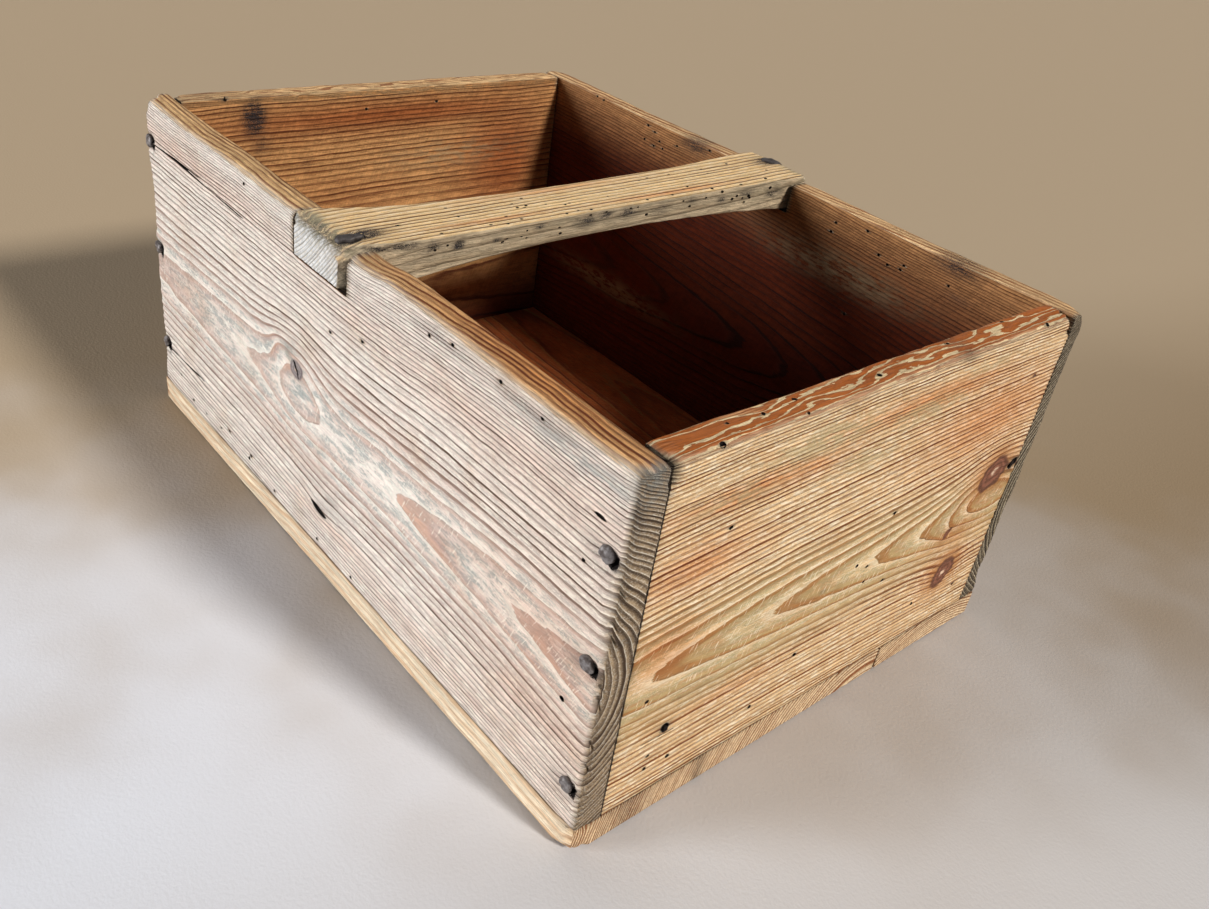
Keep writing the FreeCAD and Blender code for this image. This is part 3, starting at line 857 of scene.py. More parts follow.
def joint_dirt_and_shade(plank, points):
    """Dirt in the joints and painted shade beside them: at a wall's foot, an end board's ends, a floor
    board's top and seam.
    """
    if plank.node == "carry_bar":
        return np.zeros(len(points))
    along, across, inward = plank.place(points)
    if plank.upright:
        gap = across - plank.low[plank.width]
        if plank.grain == Y:
            gap = np.minimum(gap, plank.to_end(along))
    else:
        top = plank.high[plank.depth] - plank.low[plank.depth] - inward
        seam = across - plank.low[Y] if plank.node == "back_floor_board" else plank.high[Y] - across
        gap = np.minimum(top, seam)
    ragged = 1 + 0.6 * plane_noise(along / 9, across / 9, plank.seed + 11)
    grown_in = 0.8 if plank.upright and plank.grain == Y else 0.3
    # The narrow dark line is dirt grown into the joint; the wider faint band is painted shade.
    return grown_in * (1 - soft_step(gap, 0.1, 0.8 * ragged)) + 0.12 * (1 - soft_step(gap, 1, 6 * ragged))


def weather(piece, plank, looks, wear, fineness):
    """Rounds, dents and raises the surface, and stores what the wood's materials read."""
    block = points_of(piece)
    flat = plank.form(block)
    along, across, inward = place = plank.place(flat)
    count, flatness = plank.rings(flat)
    buried = np.minimum(block - plank.low, plank.high - block).min(axis=1)
    at_surface = 1 - soft_step(buried, 0.02, 0.4)

    rounded = soften(block, plank.low, plank.high, arris_radii(plank, block, wear))
    worn = np.linalg.norm(rounded - block, axis=1)
    rounded = plank.form(rounded)
    if plank.upright:
        rounded[:, Z] -= lowered(plank, flat)
    set_points(piece, rounded)
    normal = normals_of(piece)

    facing = plank.outward * normal[:, plank.depth]
    end = soft_step(np.abs(normal[:, plank.grain]), *plank.end_turn)
    upward = normal[:, Z] if plank.upright else np.abs(normal[:, plank.width])
    top = soft_step(upward + 0.07 * plane_noise(along / 7, across * 0, plank.seed + 12), 0.58, 0.68)
    ridge = 0.5 + 0.5 * np.cos(2 * math.pi * (count - HARD_CREST))
    spacing = np.interp(count, np.arange(len(plank.radii) - 1), np.diff(plank.radii)) * fineness
    proud = 0.55 + 0.45 * np.abs(facing) + 0.5 * top + 1.1 * soft_step(worn, 0.3, 1.5)
    proud = looks.raised_grain / MM * proud * soft_step(spacing, 1.5, 3.2)
    drift = 0.35 * plane_noise(along / 90, across / 30, plank.seed + 3)
    dents = 0.14 * plane_noise(along / 12, across / 7, plank.seed + 4)
    chewed = np.maximum(0, plane_noise(along / 6, (across + inward) / 4, plank.seed + 9) - 0.3)
    move = proud * (ridge - 1) + drift * (1 - end) + dents
    move = move - 2.4 * chewed * soft_step(worn, 0.4, 1.6)
    move = move - nail_hollow(plank, along, across) * (facing > 0.3)
    set_points(piece, rounded + normal * (move * at_surface)[:, None])

    store(piece, "place", np.stack([along, across, inward], axis=1), "FLOAT_VECTOR")
    flames = np.clip(blots(place, plank.flames), 0.4, 1) if plank.flames else 1
    for name, values in {
        "ring": count,
        "flatness": soft_step(flatness, 0.72, 0.97) * (facing > 0),
        "flame_share": soft_step(flatness, 0.64, 0.95) * (facing > 0) * flames,
        "knot": plank.knot_distance(flat),
        "stain": blots(place, plank.stains_and_shadows),
        "bleach": blots(place, plank.bleaches),
        "blush": blots(place, plank.blushes),
        "warmth": blots(place, plank.warmths),
        "wear": soft_step(worn, 0.1, 1.5),
        "inside": soft_step(-facing, 0.2, 0.6),
        "top": top,
        "end": end,
        # Painted shade on the walls of holes, splits and the notch, and dirt with painted shade at the
        # joints.
        "dirt": np.maximum(soft_step(buried, 0.05, 0.6), joint_dirt_and_shade(plank, flat)),
        "off_cut": off_cut(plank, block),
        # Painted shade for the inside, with some dark staining: it grows towards the bottom of an upright
        # board.
        "depth": soft_step(flat[:, Z], *plank.dark_below) * plank.upright,
    }.items():
        store(piece, name, values)


# ---------------------------------------------------------------- material recipes

# What marks every kind of wood alike.
# Darkens real stains, and the painted shadows put among the stain spots.
STAIN_AND_SHADOW = srgb(44, 41, 44)
GRIME_TINT = srgb(222, 196, 168)
# Dirt, and the painted shade of holes, splits and joints.
DIRT_AND_SHADE = srgb(24, 15, 11)
KNOT_HEART = srgb(238, 206, 178)


class Recipe:
    """Places and joins the nodes of one material or node group."""

    def __init__(self, tree):
        self.tree = tree

    def feed(self, socket, value):
        """Gives a socket its value: another node's output, a colour or a number."""
        if isinstance(value, bpy.types.NodeSocket):
            self.tree.links.new(value, socket)
        elif hasattr(value, "__len__") and len(value) == 3 and socket.type == "RGBA":
            socket.default_value = (*value, 1)
        else:
            socket.default_value = value

    def node(self, kind, inputs=None, **settings):
        """A new node with its settings made and its inputs fed."""
        node = self.tree.nodes.new(kind)
        for name, value in settings.items():
            setattr(node, name, value)
        for socket, value in (inputs or {}).items():
            self.feed(node.inputs[socket], value)
        return node

    def math(self, operation, first, second=0.0):
        return self.node("ShaderNodeMath", {0: first, 1: second}, operation=operation).outputs[0]

    def times(self, product, *factors, clamp=False):
        """The product of an output and one or more factors; clamp keeps it between 0 and 1."""
        for factor in factors:
            product = self.math("MULTIPLY", product, factor)
        product.node.use_clamp = clamp
        return product

    def step(self, value, start, end, low=0.0, high=1.0):
        """Low before start, high after end and smooth between; start may be the larger one."""
        node = self.node("ShaderNodeMapRange", {
            "Value": value, "From Min": start, "From Max": end, "To Min": low, "To Max": high},
            interpolation_type="SMOOTHSTEP")
        return node.outputs["Result"]

    def mix(self, factor, first, second, blend="MIX"):
        node = self.node("ShaderNodeMix", {0: factor, 6: first, 7: second},
                         data_type="RGBA", blend_type=blend)
        return node.outputs[2]

    def attribute(self, name, output="Fac"):
        return self.node("ShaderNodeAttribute", attribute_name=name).outputs[output]

    def scaled(self, vector, scale):
        """A colour or vector times a number."""
        node = self.node("ShaderNodeVectorMath", {0: vector, "Scale": scale}, operation="SCALE")
        return node.outputs[0]

    def stretched(self, vector, scale, shift=(0, 0, 0)):
        """A place to read noise at: scaled by its own amount each way, then shifted."""
        node = self.node("ShaderNodeVectorMath", {0: vector, 1: scale, 2: shift},
                         operation="MULTIPLY_ADD")
        return node.outputs[0]

    def noise(self, vector, scale=1.0, detail=2.0, roughness=0.5):
        node = self.node("ShaderNodeTexNoise", {
            "Vector": vector, "Scale": scale, "Detail": detail, "Roughness": roughness})
        return node.outputs["Fac"]

    def surface(self, strength, distance, height, inputs):
        """Ends a material: a bump of that strength and distance, the shader and the output."""
        bump = self.node("ShaderNodeBump", {
            "Strength": strength, "Distance": distance, "Height": height})
        shader = self.node("ShaderNodeBsdfPrincipled", {**inputs, "Normal": bump.outputs[0]})
        self.node("ShaderNodeOutputMaterial", {"Surface": shader.outputs[0]})


def new_material(name):
    """A material without nodes, and the recipe to fill it with."""
    material = bpy.data.materials.new(name)
    material.use_nodes = True
    material.node_tree.nodes.clear()
    return material, Recipe(material.node_tree)


def new_group(name, inputs, outputs):
    """An empty node group with its sockets, as (group, recipe, input sockets, output node)."""
    group = bpy.data.node_groups.new(name, "ShaderNodeTree")
    for socket, (kind, default) in inputs.items():
        made = group.interface.new_socket(socket, in_out="INPUT", socket_type=f"NodeSocket{kind}")
        if default is not None:
            made.default_value = default
    for socket, kind in outputs.items():
        group.interface.new_socket(socket, in_out="OUTPUT", socket_type=f"NodeSocket{kind}")
    recipe = Recipe(group)
    given = recipe.node("NodeGroupInput").outputs
    result = recipe.node("NodeGroupOutput").inputs
    return group, recipe, given, result


# What every side of a board is painted from. Phase runs from 0 to 1 through each ring.
FIGURE = ("Phase", "Tone", "Swing", "Fibre", "Dash", "Patch", "Grit", "Fleck")


def figure_group():
    """The figure of old pine: ring phase and tone, fibres, dashes, patches, flecks and tool marks."""
    group, recipe, given, result = new_group(
        "pine_figure", {"Place": ("Vector", None), "Ring": ("Float", 0.0), "Wander": ("Float", 0.12)},
        {name: "Float" for name in (*FIGURE, "Rasp")})
    place = given["Place"]
    ragged = recipe.noise(recipe.stretched(place, (0.09, 0.5, 0.5)), detail=3)
    stray = recipe.times(recipe.math("SUBTRACT", ragged, 0.5), given["Wander"])
    count = recipe.math("ADD", given["Ring"], stray)
    recipe.feed(result["Phase"], recipe.math("FRACT", count))
    ring = recipe.math("FLOOR", count)
    tone = recipe.node("ShaderNodeTexWhiteNoise", {"W": ring}, noise_dimensions="1D")
    recipe.feed(result["Tone"], tone.outputs["Value"])
    along = recipe.node("ShaderNodeSeparateXYZ", {0: place}).outputs["X"]
    swing_at = recipe.node("ShaderNodeCombineXYZ", {0: recipe.times(along, 0.014),
                                                    1: recipe.times(ring, 1.7)})
    recipe.feed(result["Swing"], recipe.noise(swing_at.outputs[0], detail=2))
    for name, stretch, detail, roughness in (
            ("Fibre", (0.028, 1.25, 1.25), 4, 0.7), ("Dash", (0.10, 0.72, 0.72), 3, 0.6),
            ("Patch", (0.075, 0.26, 0.26), 5, 0.7), ("Grit", (1.3, 2.0, 2.0), 2, 0.6),
            ("Fleck", (0.42, 1.1, 1.1), 1, 0.5)):
        shift = (sum(stretch) * 9, len(name), 3.3)
        recipe.feed(result[name], recipe.noise(recipe.stretched(place, stretch, shift),
                                               detail=detail, roughness=roughness))
    turned = recipe.node("ShaderNodeVectorRotate", {"Vector": place, "Angle": math.radians(-66)},
                         rotation_type="Z_AXIS")
    rasp = recipe.noise(recipe.stretched(turned.outputs[0], (0.11, 0.85, 0.3)), detail=2)
    recipe.feed(result["Rasp"], rasp)
    return group


def zone_group():
    """Paints one side of a board: soft wood, hard lines, weathered patches, pale flecks, and a painted
    highlight just past each hard line.
    """
    colours = {name: ("Color", (0.5, 0.5, 0.5, 1)) for name in ("Early", "Middle", "Late", "Grey", "Pale")}
    numbers = {name: ("Float", 0.5) for name in (
        *FIGURE, "Line From", "Line To", "Line Strength", "Grey Amount", "Fleck Amount")}
    group, recipe, given, result = new_group(
        "pine_zone", {**numbers, **colours}, {"Color": "Color", "Hard": "Float"})
    step, times = recipe.step, recipe.times
    phase, tone, swing, fibre, dash, patch, grit, fleck = (given[name] for name in FIGURE)
    hard = times(step(phase, given["Line From"], given["Line To"]), step(phase, 0.95, 1.0, 1.0, 0.0))
    strength = times(step(tone, 0.0, 1.0, 0.5, 1.2), step(swing, 0.35, 0.65, 0.6, 1.2),
                     step(fibre, 0.3, 0.7, 1.2, 0.75), given["Line Strength"])

    bright = times(step(fibre, 0.32, 0.68, 0.8, 1.08), step(grit, 0.3, 0.7, 0.88, 1.08),
                   step(tone, 1.0, 0.0, 0.9, 1.05))
    shade = times(step(phase, 0.3, 0.85, 0.0, 0.75), strength, clamp=True)
    paint = recipe.mix(shade, recipe.scaled(given["Early"], bright), given["Middle"])
    grey = times(step(patch, 0.5, 0.55), given["Grey Amount"], step(grit, 0.35, 0.6, 1.0, 0.6))
    paint = recipe.mix(grey, paint, given["Grey"])
    pale = recipe.math("MAXIMUM", step(dash, 0.55, 0.6), step(fleck, 0.63, 0.68))
    paint = recipe.mix(times(pale, given["Fleck Amount"]), paint, given["Pale"])
    # A painted highlight: a pale line just past each hard line, where a raised ridge would catch the light.
    crest_highlight = times(step(phase, 0.2, 0.02), step(patch, 0.42, 0.56, 0.25, 0.85),
                  step(swing, 0.65, 0.4, 0.5, 1.0))
    paint = recipe.mix(crest_highlight, paint, given["Pale"])
    paint = recipe.mix(times(hard, strength, clamp=True), paint, given["Late"])
    recipe.feed(result["Color"], paint)
    recipe.feed(result["Hard"], hard)
    return group


def flame_group():
    """Lays a flame over the paint where a ring lies flat: an outline, its band and a grey hollow."""
    group, recipe, given, result = new_group(
        "pine_flame", {"Paint": ("Color", (0.8, 0.7, 0.6, 1)), "Phase": ("Float", 0.0),
                       "Fibre": ("Float", 0.5), "Patch": ("Float", 0.5), "Grit": ("Float", 0.5),
                       "Amount": ("Float", 0.0), "Flame": ("Color", (0.6, 0.4, 0.3, 1)),
                       "Edge": ("Color", (0.7, 0.4, 0.2, 1)), "Grey": ("Color", (0.6, 0.6, 0.5, 1))},
        {"Color": "Color"})
    step, times = recipe.step, recipe.times
    phase, fibre, patch, amount = (given[name] for name in ("Phase", "Fibre", "Patch", "Amount"))
    inside = step(phase, 0.985, 1.0, 1.0, 0.0)
    hollow = times(step(phase, 0.12, 0.32), step(patch, 0.4, 0.55, 0.5, 0.95),
                   step(given["Grit"], 0.35, 0.65, 1.0, 0.35), amount, clamp=True)
    paint = recipe.mix(hollow, given["Paint"], given["Grey"])
    band = times(step(phase, 0.45, 0.72), inside, step(fibre, 0.3, 0.65, 1.0, 0.72), amount, clamp=True)
    paint = recipe.mix(band, paint, given["Flame"])
    fringe = times(step(phase, 0.36, 0.48), step(phase, 0.68, 0.54), step(patch, 0.35, 0.6, 0.6, 0.1))
    outline = times(step(phase, 0.7, 0.84), inside, step(fibre, 0.35, 0.65, 0.95, 0.6))
    edge = times(recipe.math("MAXIMUM", fringe, outline), amount, clamp=True)
    recipe.feed(result["Color"], recipe.mix(edge, paint, given["Edge"]))
    return group


def knot_group():
    """A knot from its distance attribute: growth rings, a dark rim, a light heart and a halo."""
    group, recipe, given, result = new_group(
        "pine_knot", {"Distance": ("Float", 3.0), "Place": ("Vector", None),
                      "Body": ("Color", (0.2, 0.1, 0.05, 1)), "Rim": ("Color", (0.1, 0.05, 0.03, 1))},
        {"Color": "Color", "Amount": "Float", "Halo": "Float"})
    uneven = recipe.noise(recipe.stretched(given["Place"], (0.1, 0.1, 0.1)), detail=0)
    distance = recipe.math("ADD", given["Distance"], recipe.step(uneven, 0.3, 0.7, -0.08, 0.08))
    speckle = recipe.noise(recipe.stretched(given["Place"], (0.6, 0.6, 0.6)), detail=5, roughness=0.7)
    rings = recipe.math("SINE", recipe.times(distance, 19))
    dark = recipe.times(recipe.step(rings, -1, 1, 0.1, 0.9), recipe.step(speckle, 0.4, 0.6, 0.4, 1))
    body = recipe.mix(dark, given["Body"], given["Rim"])
    body = recipe.mix(recipe.step(distance, 0.62, 0.95, 0.0, 0.75), body, given["Rim"])
    body = recipe.mix(recipe.step(distance, 0.26, 0.14), body, KNOT_HEART)
    recipe.feed(result["Color"], body)
    recipe.feed(result["Amount"], recipe.step(distance, 1.05, 0.85))
    recipe.feed(result["Halo"], recipe.step(distance, 1.8, 0.9))
    return group


GROUPS = {}


def use_group(recipe, maker, inputs):
    """Places the group that a maker builds, which is built once and shared by every material."""
    if maker not in GROUPS:
        GROUPS[maker] = maker()
    return recipe.node("ShaderNodeGroup", inputs, node_tree=GROUPS[maker]).outputs


def wood_material(name, looks, line=(0.66, 0.84), top_line=(0.4, 0.7), end_line=(0.25, 0.75),
                  top_wander=0.12, top_strength=1.0, end_rings=1.0, halo=0.5):
    """Old pine: one figure, painted for the face, the inside, the top and the end grain.

    line, top_line and end_line say where in a ring its hard line starts and is full. On the
    top, top_wander is how far rings stray and top_strength how dark they are. end_rings is how
    many rings the end grain shows for each ring of the log, and halo how far a knot tints the
    wood round it.
    """
    material, recipe = new_material(name)
    step, times = recipe.step, recipe.times
    place = recipe.attribute("place", "Vector")
    is_top, is_end, is_inside, flat = (
        recipe.attribute(mask) for mask in ("top", "end", "inside", "flatness"))
    figure = use_group(recipe, figure_group, {
        "Place": place, "Ring": recipe.attribute("ring"), "Wander": step(is_top, 0, 1, 0.12, top_wander)})
    shared = {part: figure[part] for part in FIGURE}

    def zone(early, middle, late, grey, pale, rise, strength, grey_amount, fleck_amount):
        """Paints one side, its hard lines rising between the two parts of a ring in rise."""
        return use_group(recipe, zone_group, {
            **shared, "Early": early, "Middle": middle, "Late": late, "Grey": grey, "Pale": pale,
            "Line From": rise[0], "Line To": rise[1], "Line Strength": strength,
            "Grey Amount": grey_amount, "Fleck Amount": fleck_amount})

    face_line = [step(flat, 0.3, 1.0, line[0], line[0] + 0.1), step(flat, 0.3, 1.0, line[1], 0.94)]
    line_strength = step(flat, 0.4, 1.0, looks.line_strength, looks.line_strength * 0.4)
    weathered = step(flat, 0.3, 0.95, looks.grey_amount * 0.25, looks.grey_amount)
    face = zone(looks.face_early, looks.face_middle, looks.face_late, looks.face_grey, looks.face_pale,
                face_line, line_strength, weathered, looks.fleck_amount)
    flames = use_group(recipe, flame_group, {
        **{part: figure[part] for part in ("Phase", "Fibre", "Patch", "Grit")}, "Paint": face["Color"],
        "Amount": recipe.attribute("flame_share"), "Flame": looks.face_flame,
        "Edge": looks.face_edge, "Grey": looks.face_grey})
    rasped = times(step(figure["Rasp"], 0.6, 0.66), step(flat, 0.5, 0.9, 0.0, 0.7))
    worn_face = recipe.mix(rasped, flames["Color"], looks.face_pale)

    inner_line = (0.76, 0.9)
    inner = zone(looks.inside_early, looks.inside_middle, looks.inside_late, looks.inside_late,
                 looks.face_flame, inner_line, 1.1, 0.3, 0.3)
    sawn = recipe.scaled(inner["Color"], step(figure["Rasp"], 0.35, 0.65, 0.9, 1.08))
    # The inside darkens towards its bottom: painted shade, with some dark staining.
    deep = recipe.mix(recipe.attribute("depth"), sawn, looks.inside_deep, blend="MULTIPLY")

    crown = zone(looks.top_early, looks.top_late, looks.top_late, looks.top_dark, looks.top_early,
                 top_line, top_strength, 0.35, 0.3)
    streaked = recipe.scaled(crown["Color"], step(figure["Fibre"], 0.3, 0.7, 0.7, 1.12))

    shared["Phase"] = recipe.math("FRACT", times(recipe.attribute("ring"), end_rings))
    butt = zone(looks.end_early, looks.end_late, looks.end_late, looks.end_late, looks.face_pale,
                end_line, 1.0, 0.4, 0.3)

    paint = recipe.mix(is_inside, worn_face, deep)
    paint = recipe.mix(recipe.attribute("blush"), paint, looks.face_blush, blend="MULTIPLY")
    paint = recipe.mix(is_top, paint, streaked)
    paint = recipe.mix(times(recipe.attribute("wear"), 0.3), paint, looks.face_pale)
    paint = recipe.mix(recipe.attribute("warmth"), paint, looks.warm_tint, blend="MULTIPLY")
    paint = recipe.mix(is_end, paint, butt["Color"])

    knots = use_group(recipe, knot_group, {"Distance": recipe.attribute("knot"), "Place": place,
                                           "Body": looks.knot_body, "Rim": looks.knot_rim})
    paint = recipe.mix(times(knots["Halo"], halo), paint, looks.face_edge)
    paint = recipe.mix(knots["Amount"], paint, knots["Color"])
    bleach = times(recipe.attribute("bleach"), step(figure["Patch"], 0.4, 0.56))
    paint = recipe.mix(bleach, paint, looks.face_grey)
    # Real stains, and the painted shadows among them, broken up by grit and dashes.
    smudge = times(step(figure["Grit"], 0.35, 0.62, 0.35, 1.3), step(figure["Dash"], 0.38, 0.55, 0.5, 1.1))
    paint = recipe.mix(times(recipe.attribute("stain"), smudge, clamp=True), paint, STAIN_AND_SHADOW)
    coordinates = recipe.node("ShaderNodeTexCoord").outputs["Object"]
    grime = recipe.noise(coordinates, scale=22, detail=5, roughness=0.62)
    paint = recipe.mix(step(grime, 0.5, 0.74, 0.0, 0.3), paint, GRIME_TINT, blend="MULTIPLY")
    # Painted shade in holes and splits and round their rims, and dirt with painted shade at the joints.
    dirt = times(recipe.attribute("dirt"), step(grime, 0.35, 0.6, 0.75, 1.0))
    dark = recipe.math("MAXIMUM", dirt, step(recipe.attribute("off_cut"), 0.25, 0.08))
    paint = recipe.mix(dark, paint, DIRT_AND_SHADE)

    relief = times(face["Hard"], 0.7)
    for part, height in ((figure["Fibre"], 0.9), (figure["Grit"], 0.4),
                         (step(figure["Patch"], 0.48, 0.56), 0.35)):
        relief = recipe.math("ADD", relief, times(part, height))
    recipe.surface(0.9, 1 * MM, relief, {
        "Base Color": paint, "Roughness": step(face["Hard"], 0, 1, 0.9, 0.66),
        "Specular IOR Level": 0.25})
    return material


def iron_material(name, looks):
    """Hand-forged iron: worn heads, a brown skin of old rust, and soot on the bar's nails."""
    material, recipe = new_material(name)
    coordinates = recipe.node("ShaderNodeTexCoord").outputs["Object"]
    pits = recipe.noise(coordinates, scale=900, detail=4, roughness=0.6)
    skin = recipe.noise(coordinates, scale=260, detail=3, roughness=0.6)
    paint = recipe.mix(recipe.step(skin, 0.38, 0.62), looks.rust, looks.iron)
    height = recipe.node("ShaderNodeSeparateXYZ", {0: coordinates}).outputs["Z"]
    paint = recipe.mix(recipe.step(height, 238 * MM, 243 * MM, 0.0, 0.7), paint, looks.soot)
    recipe.surface(0.6, 0.4 * MM, pits, {
        "Base Color": paint, "Roughness": recipe.step(skin, 0.3, 0.7, 0.75, 0.5),
        "Metallic": recipe.step(skin, 0.4, 0.62, 0.1, 0.55)})
    return material


# The slot of each wood, the scene's property group with its colours, and how it is drawn.
WOODS = {
    "bleached_side_wood": ("bleached_side", {"halo": 0.25}),
    "brown_side_wood": ("brown_side", {}),
    "golden_end_wood": ("golden_end", {"line": (0.52, 0.7), "top_line": (0.3, 0.36),
                                       "top_wander": 1.0, "top_strength": 2.0}),
    "floor_wood": ("floor_wood", {}),
    "bar_wood": ("bar_wood", {"line": (0.62, 0.78), "end_line": (0.55, 0.85),
                              "top_strength": 0.45, "end_rings": 1.55}),
}
MATERIALS = {}


def looks_of(slot):
    """The properties of the wood in one of the record's material slots."""
    return getattr(bpy.context.scene, WOODS[slot][0])


def material_of(slot):
    """The material for one of the record's material slots, made when first asked for."""
    if slot not in MATERIALS:
        if slot in WOODS:
            MATERIALS[slot] = wood_material(slot, looks_of(slot), **WOODS[slot][1])
        else:
            MATERIALS[slot] = iron_material(slot, bpy.context.scene.forged_iron)
    return MATERIALS[slot]


def hand_over(piece, slot, node):
    """Gives a finished piece its material and its body, and hides the imported part that it stands for."""
    make_active(piece)
    piece.data.materials.clear()
    piece.data.materials.append(material_of(slot))
    bpy.ops.object.shade_smooth_by_angle(angle=math.radians(42))
    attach(piece, "root")
    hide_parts(node)


# ---------------------------------------------------------------- boards

# An end board has a row of faces this wide beside each joint, to hold the joint's dirt and painted shade.
JOINT_STRIP = 0.9


def make_board(plank, slot, fineness, grain_step, notch=()):
    """A plank: block, notch, grid of fine faces, worm holes and splits, then its weathering.

    fineness is how many faces a millimetre holds across the grain as a rule, and grain_step
    the millimetres that one covers along it.
    """
    wear, looks = bpy.context.scene.chest_wear, looks_of(slot)
    fineness = fineness * wear.mesh_fineness
    piece = new_block(plank.node.replace("_board", "") + "_plank", plank.low, plank.high)
    bpy.ops.object.mode_set(mode="EDIT")
    if notch:
        cut_notch(piece, plank, *notch)
    ends = plank.low[plank.grain], plank.high[plank.grain]
    end_board = plank.upright and plank.grain == Y
    joints = (ends[0] + JOINT_STRIP, ends[1] - JOINT_STRIP) if end_board else ()
    grain_stops = span_stops(*ends, *notch[:2], *joints)
    width_stops = span_stops(plank.low[plank.width], plank.high[plank.width], *notch[2:], longest=60)
    for axis, stops in ((plank.width, width_stops), (plank.grain, grain_stops)):
        cut_lines(axis, [stop for stop in stops[1:-1] if stop not in notch])
    divide(piece, plank.grain, grain_stops, grain_step)
    divide(piece, plank.depth, [plank.low[plank.depth], plank.high[plank.depth]], 1 / fineness)
    divide(piece, plank.width, width_stops, 1 / fineness)
    bpy.ops.object.mode_set(mode="OBJECT")
    chance = np.random.default_rng(plank.seed + 100)
    hole = wear.worm_hole / MM
    cutters = [worm_drill(plank, along, across, hole * part, face, chance)
               for along, across, part, face in plank.holes]
    cutters += [crack_cutter(plank, *crack) for crack in plank.cracks]
    if cutters:
        subtract(piece, cutters)
    weather(piece, plank, looks, wear, fineness)
    hand_over(piece, slot, plank.node)


# Where the bar lies in each side board: the notch's left and right wall and its floor.
FRONT_NOTCH = (-41, 23.5, 221.5)
BACK_NOTCH = (-28, 33.6, 227.5)


class CHEST_OT_side_boards(bpy.types.Operator):
    """Make the front and back side boards, notched for the carry bar"""
    bl_idname = "chest.side_boards"
    bl_label = "Side boards"

    def execute(self, context):
        make_board(front_side(), "bleached_side_wood", fineness=1.3, grain_step=4.5, notch=FRONT_NOTCH)
        make_board(back_side(), "brown_side_wood", fineness=1, grain_step=4.5, notch=BACK_NOTCH)
        return {"FINISHED"}


class CHEST_OT_end_boards(bpy.types.Operator):
    """Make the two end boards, which fit between the sides"""
    bl_idname = "chest.end_boards"
    bl_label = "End boards"

    def execute(self, context):
        make_board(right_end(), "golden_end_wood", fineness=1.4, grain_step=3.5)
        make_board(left_end(), "brown_side_wood", fineness=1, grain_step=4)
        return {"FINISHED"}


class CHEST_OT_floor_boards(bpy.types.Operator):
    """Make the wide and the narrow floor board"""
    bl_idname = "chest.floor_boards"
    bl_label = "Floor boards"

    def execute(self, context):
        for plank in (front_floor(), back_floor()):
            make_board(plank, "floor_wood", fineness=0.8, grain_step=8)
        return {"FINISHED"}


class CHEST_OT_carry_bar(bpy.types.Operator):
    """Make the carry bar, waisted and arched, let into both sides"""
    bl_idname = "chest.carry_bar"
    bl_label = "Carry bar"

    def execute(self, context):
        make_board(carry_bar_wood(), "bar_wood", fineness=2, grain_step=3)
        return {"FINISHED"}


# ---------------------------------------------------------------- nails

def nail_blank(head_width, head_length, proud, buried, shank, point, length):
    """A nail at the origin, its shank down: domed head on top, tapered shank below the surface."""
    deselect_all()
    bpy.ops.mesh.primitive_cylinder_add(vertices=16, radius=head_width / 2 * MM, depth=buried * MM,
                                        location=(0, 0, -buried / 2 * MM))
    nail = bpy.context.object
    bpy.ops.object.transform_apply(location=True, rotation=True, scale=True)
    bpy.ops.object.mode_set(mode="EDIT")
    bpy.ops.mesh.select_all(action="SELECT")
    bpy.ops.transform.resize(value=(1, head_length / head_width, 1), center_override=(0, 0, 0))
    pick(nail, "faces", lambda face: face.normal.z > 0.5)
    for rise, scale in ((0.45, 0.93), (0.35, 0.8), (0.2, 0.55)):
        bpy.ops.mesh.extrude_region_move(TRANSFORM_OT_translate={"value": (0, 0, proud * rise * MM)})
        bpy.ops.transform.resize(value=(scale, scale, 1))
    pick(nail, "faces", lambda face: face.normal.z < -0.5)
    bpy.ops.mesh.extrude_region_move(TRANSFORM_OT_translate={"value": (0, 0, 0)})
    bpy.ops.transform.resize(value=(shank / head_width, shank / head_length, 1))
    bpy.ops.mesh.extrude_region_move(TRANSFORM_OT_translate={"value": (0, 0, (buried - length) * MM)})
    bpy.ops.transform.resize(value=(point / shank, point / shank, 1))
    bpy.ops.object.mode_set(mode="OBJECT")
    smooth = nail.modifiers.new("smooth", "SUBSURF")
    smooth.levels = smooth.render_levels = 1
    bpy.ops.object.modifier_apply(modifier=smooth.name)
    return nail


def rotation(degrees, axis):
    """The matrix that turns by so many degrees about an axis through the origin."""
    return Matrix.Rotation(math.radians(degrees), 4, axis)


def drive_nails(blank, node, places, turn, unevenness, seed):
    """Copies the blank to its places, each turned and hammered its own way, joined into one piece."""
    chance = np.random.default_rng(seed)
    nails = []
    for place in places:
        nail = blank.copy()
        nail.data = blank.data.copy()
        bpy.context.scene.collection.objects.link(nail)
        points = points_of(nail)
        lumps = np.stack([plane_noise(points[:, X] / 3.1 + 9 * axis, points[:, Y] / 3.1, seed + len(nails))
                          for axis in range(3)], axis=1)
        set_points(nail, points + unevenness / MM * lumps * soft_step(points[:, Z], -3, -1)[:, None])
        lean = Matrix.Rotation(chance.uniform(-0.1, 0.1), 4, "X") @ Matrix.Rotation(
            chance.uniform(-0.1, 0.1), 4, "Y")
        spin = Matrix.Rotation(chance.uniform(0, 6), 4, "Z") if len(places) > 1 else Matrix()
        nail.data.transform(Matrix.Translation(Vector(place) * MM) @ turn @ lean @ spin)
        nails.append(nail)
    make_active(nails[0])
    for nail in nails:
        nail.select_set(True)
    if len(nails) > 1:
        bpy.ops.object.join()
    piece = bpy.context.object
    piece.name = piece.data.name = node + "_iron"
    hand_over(piece, "forged_iron", node)


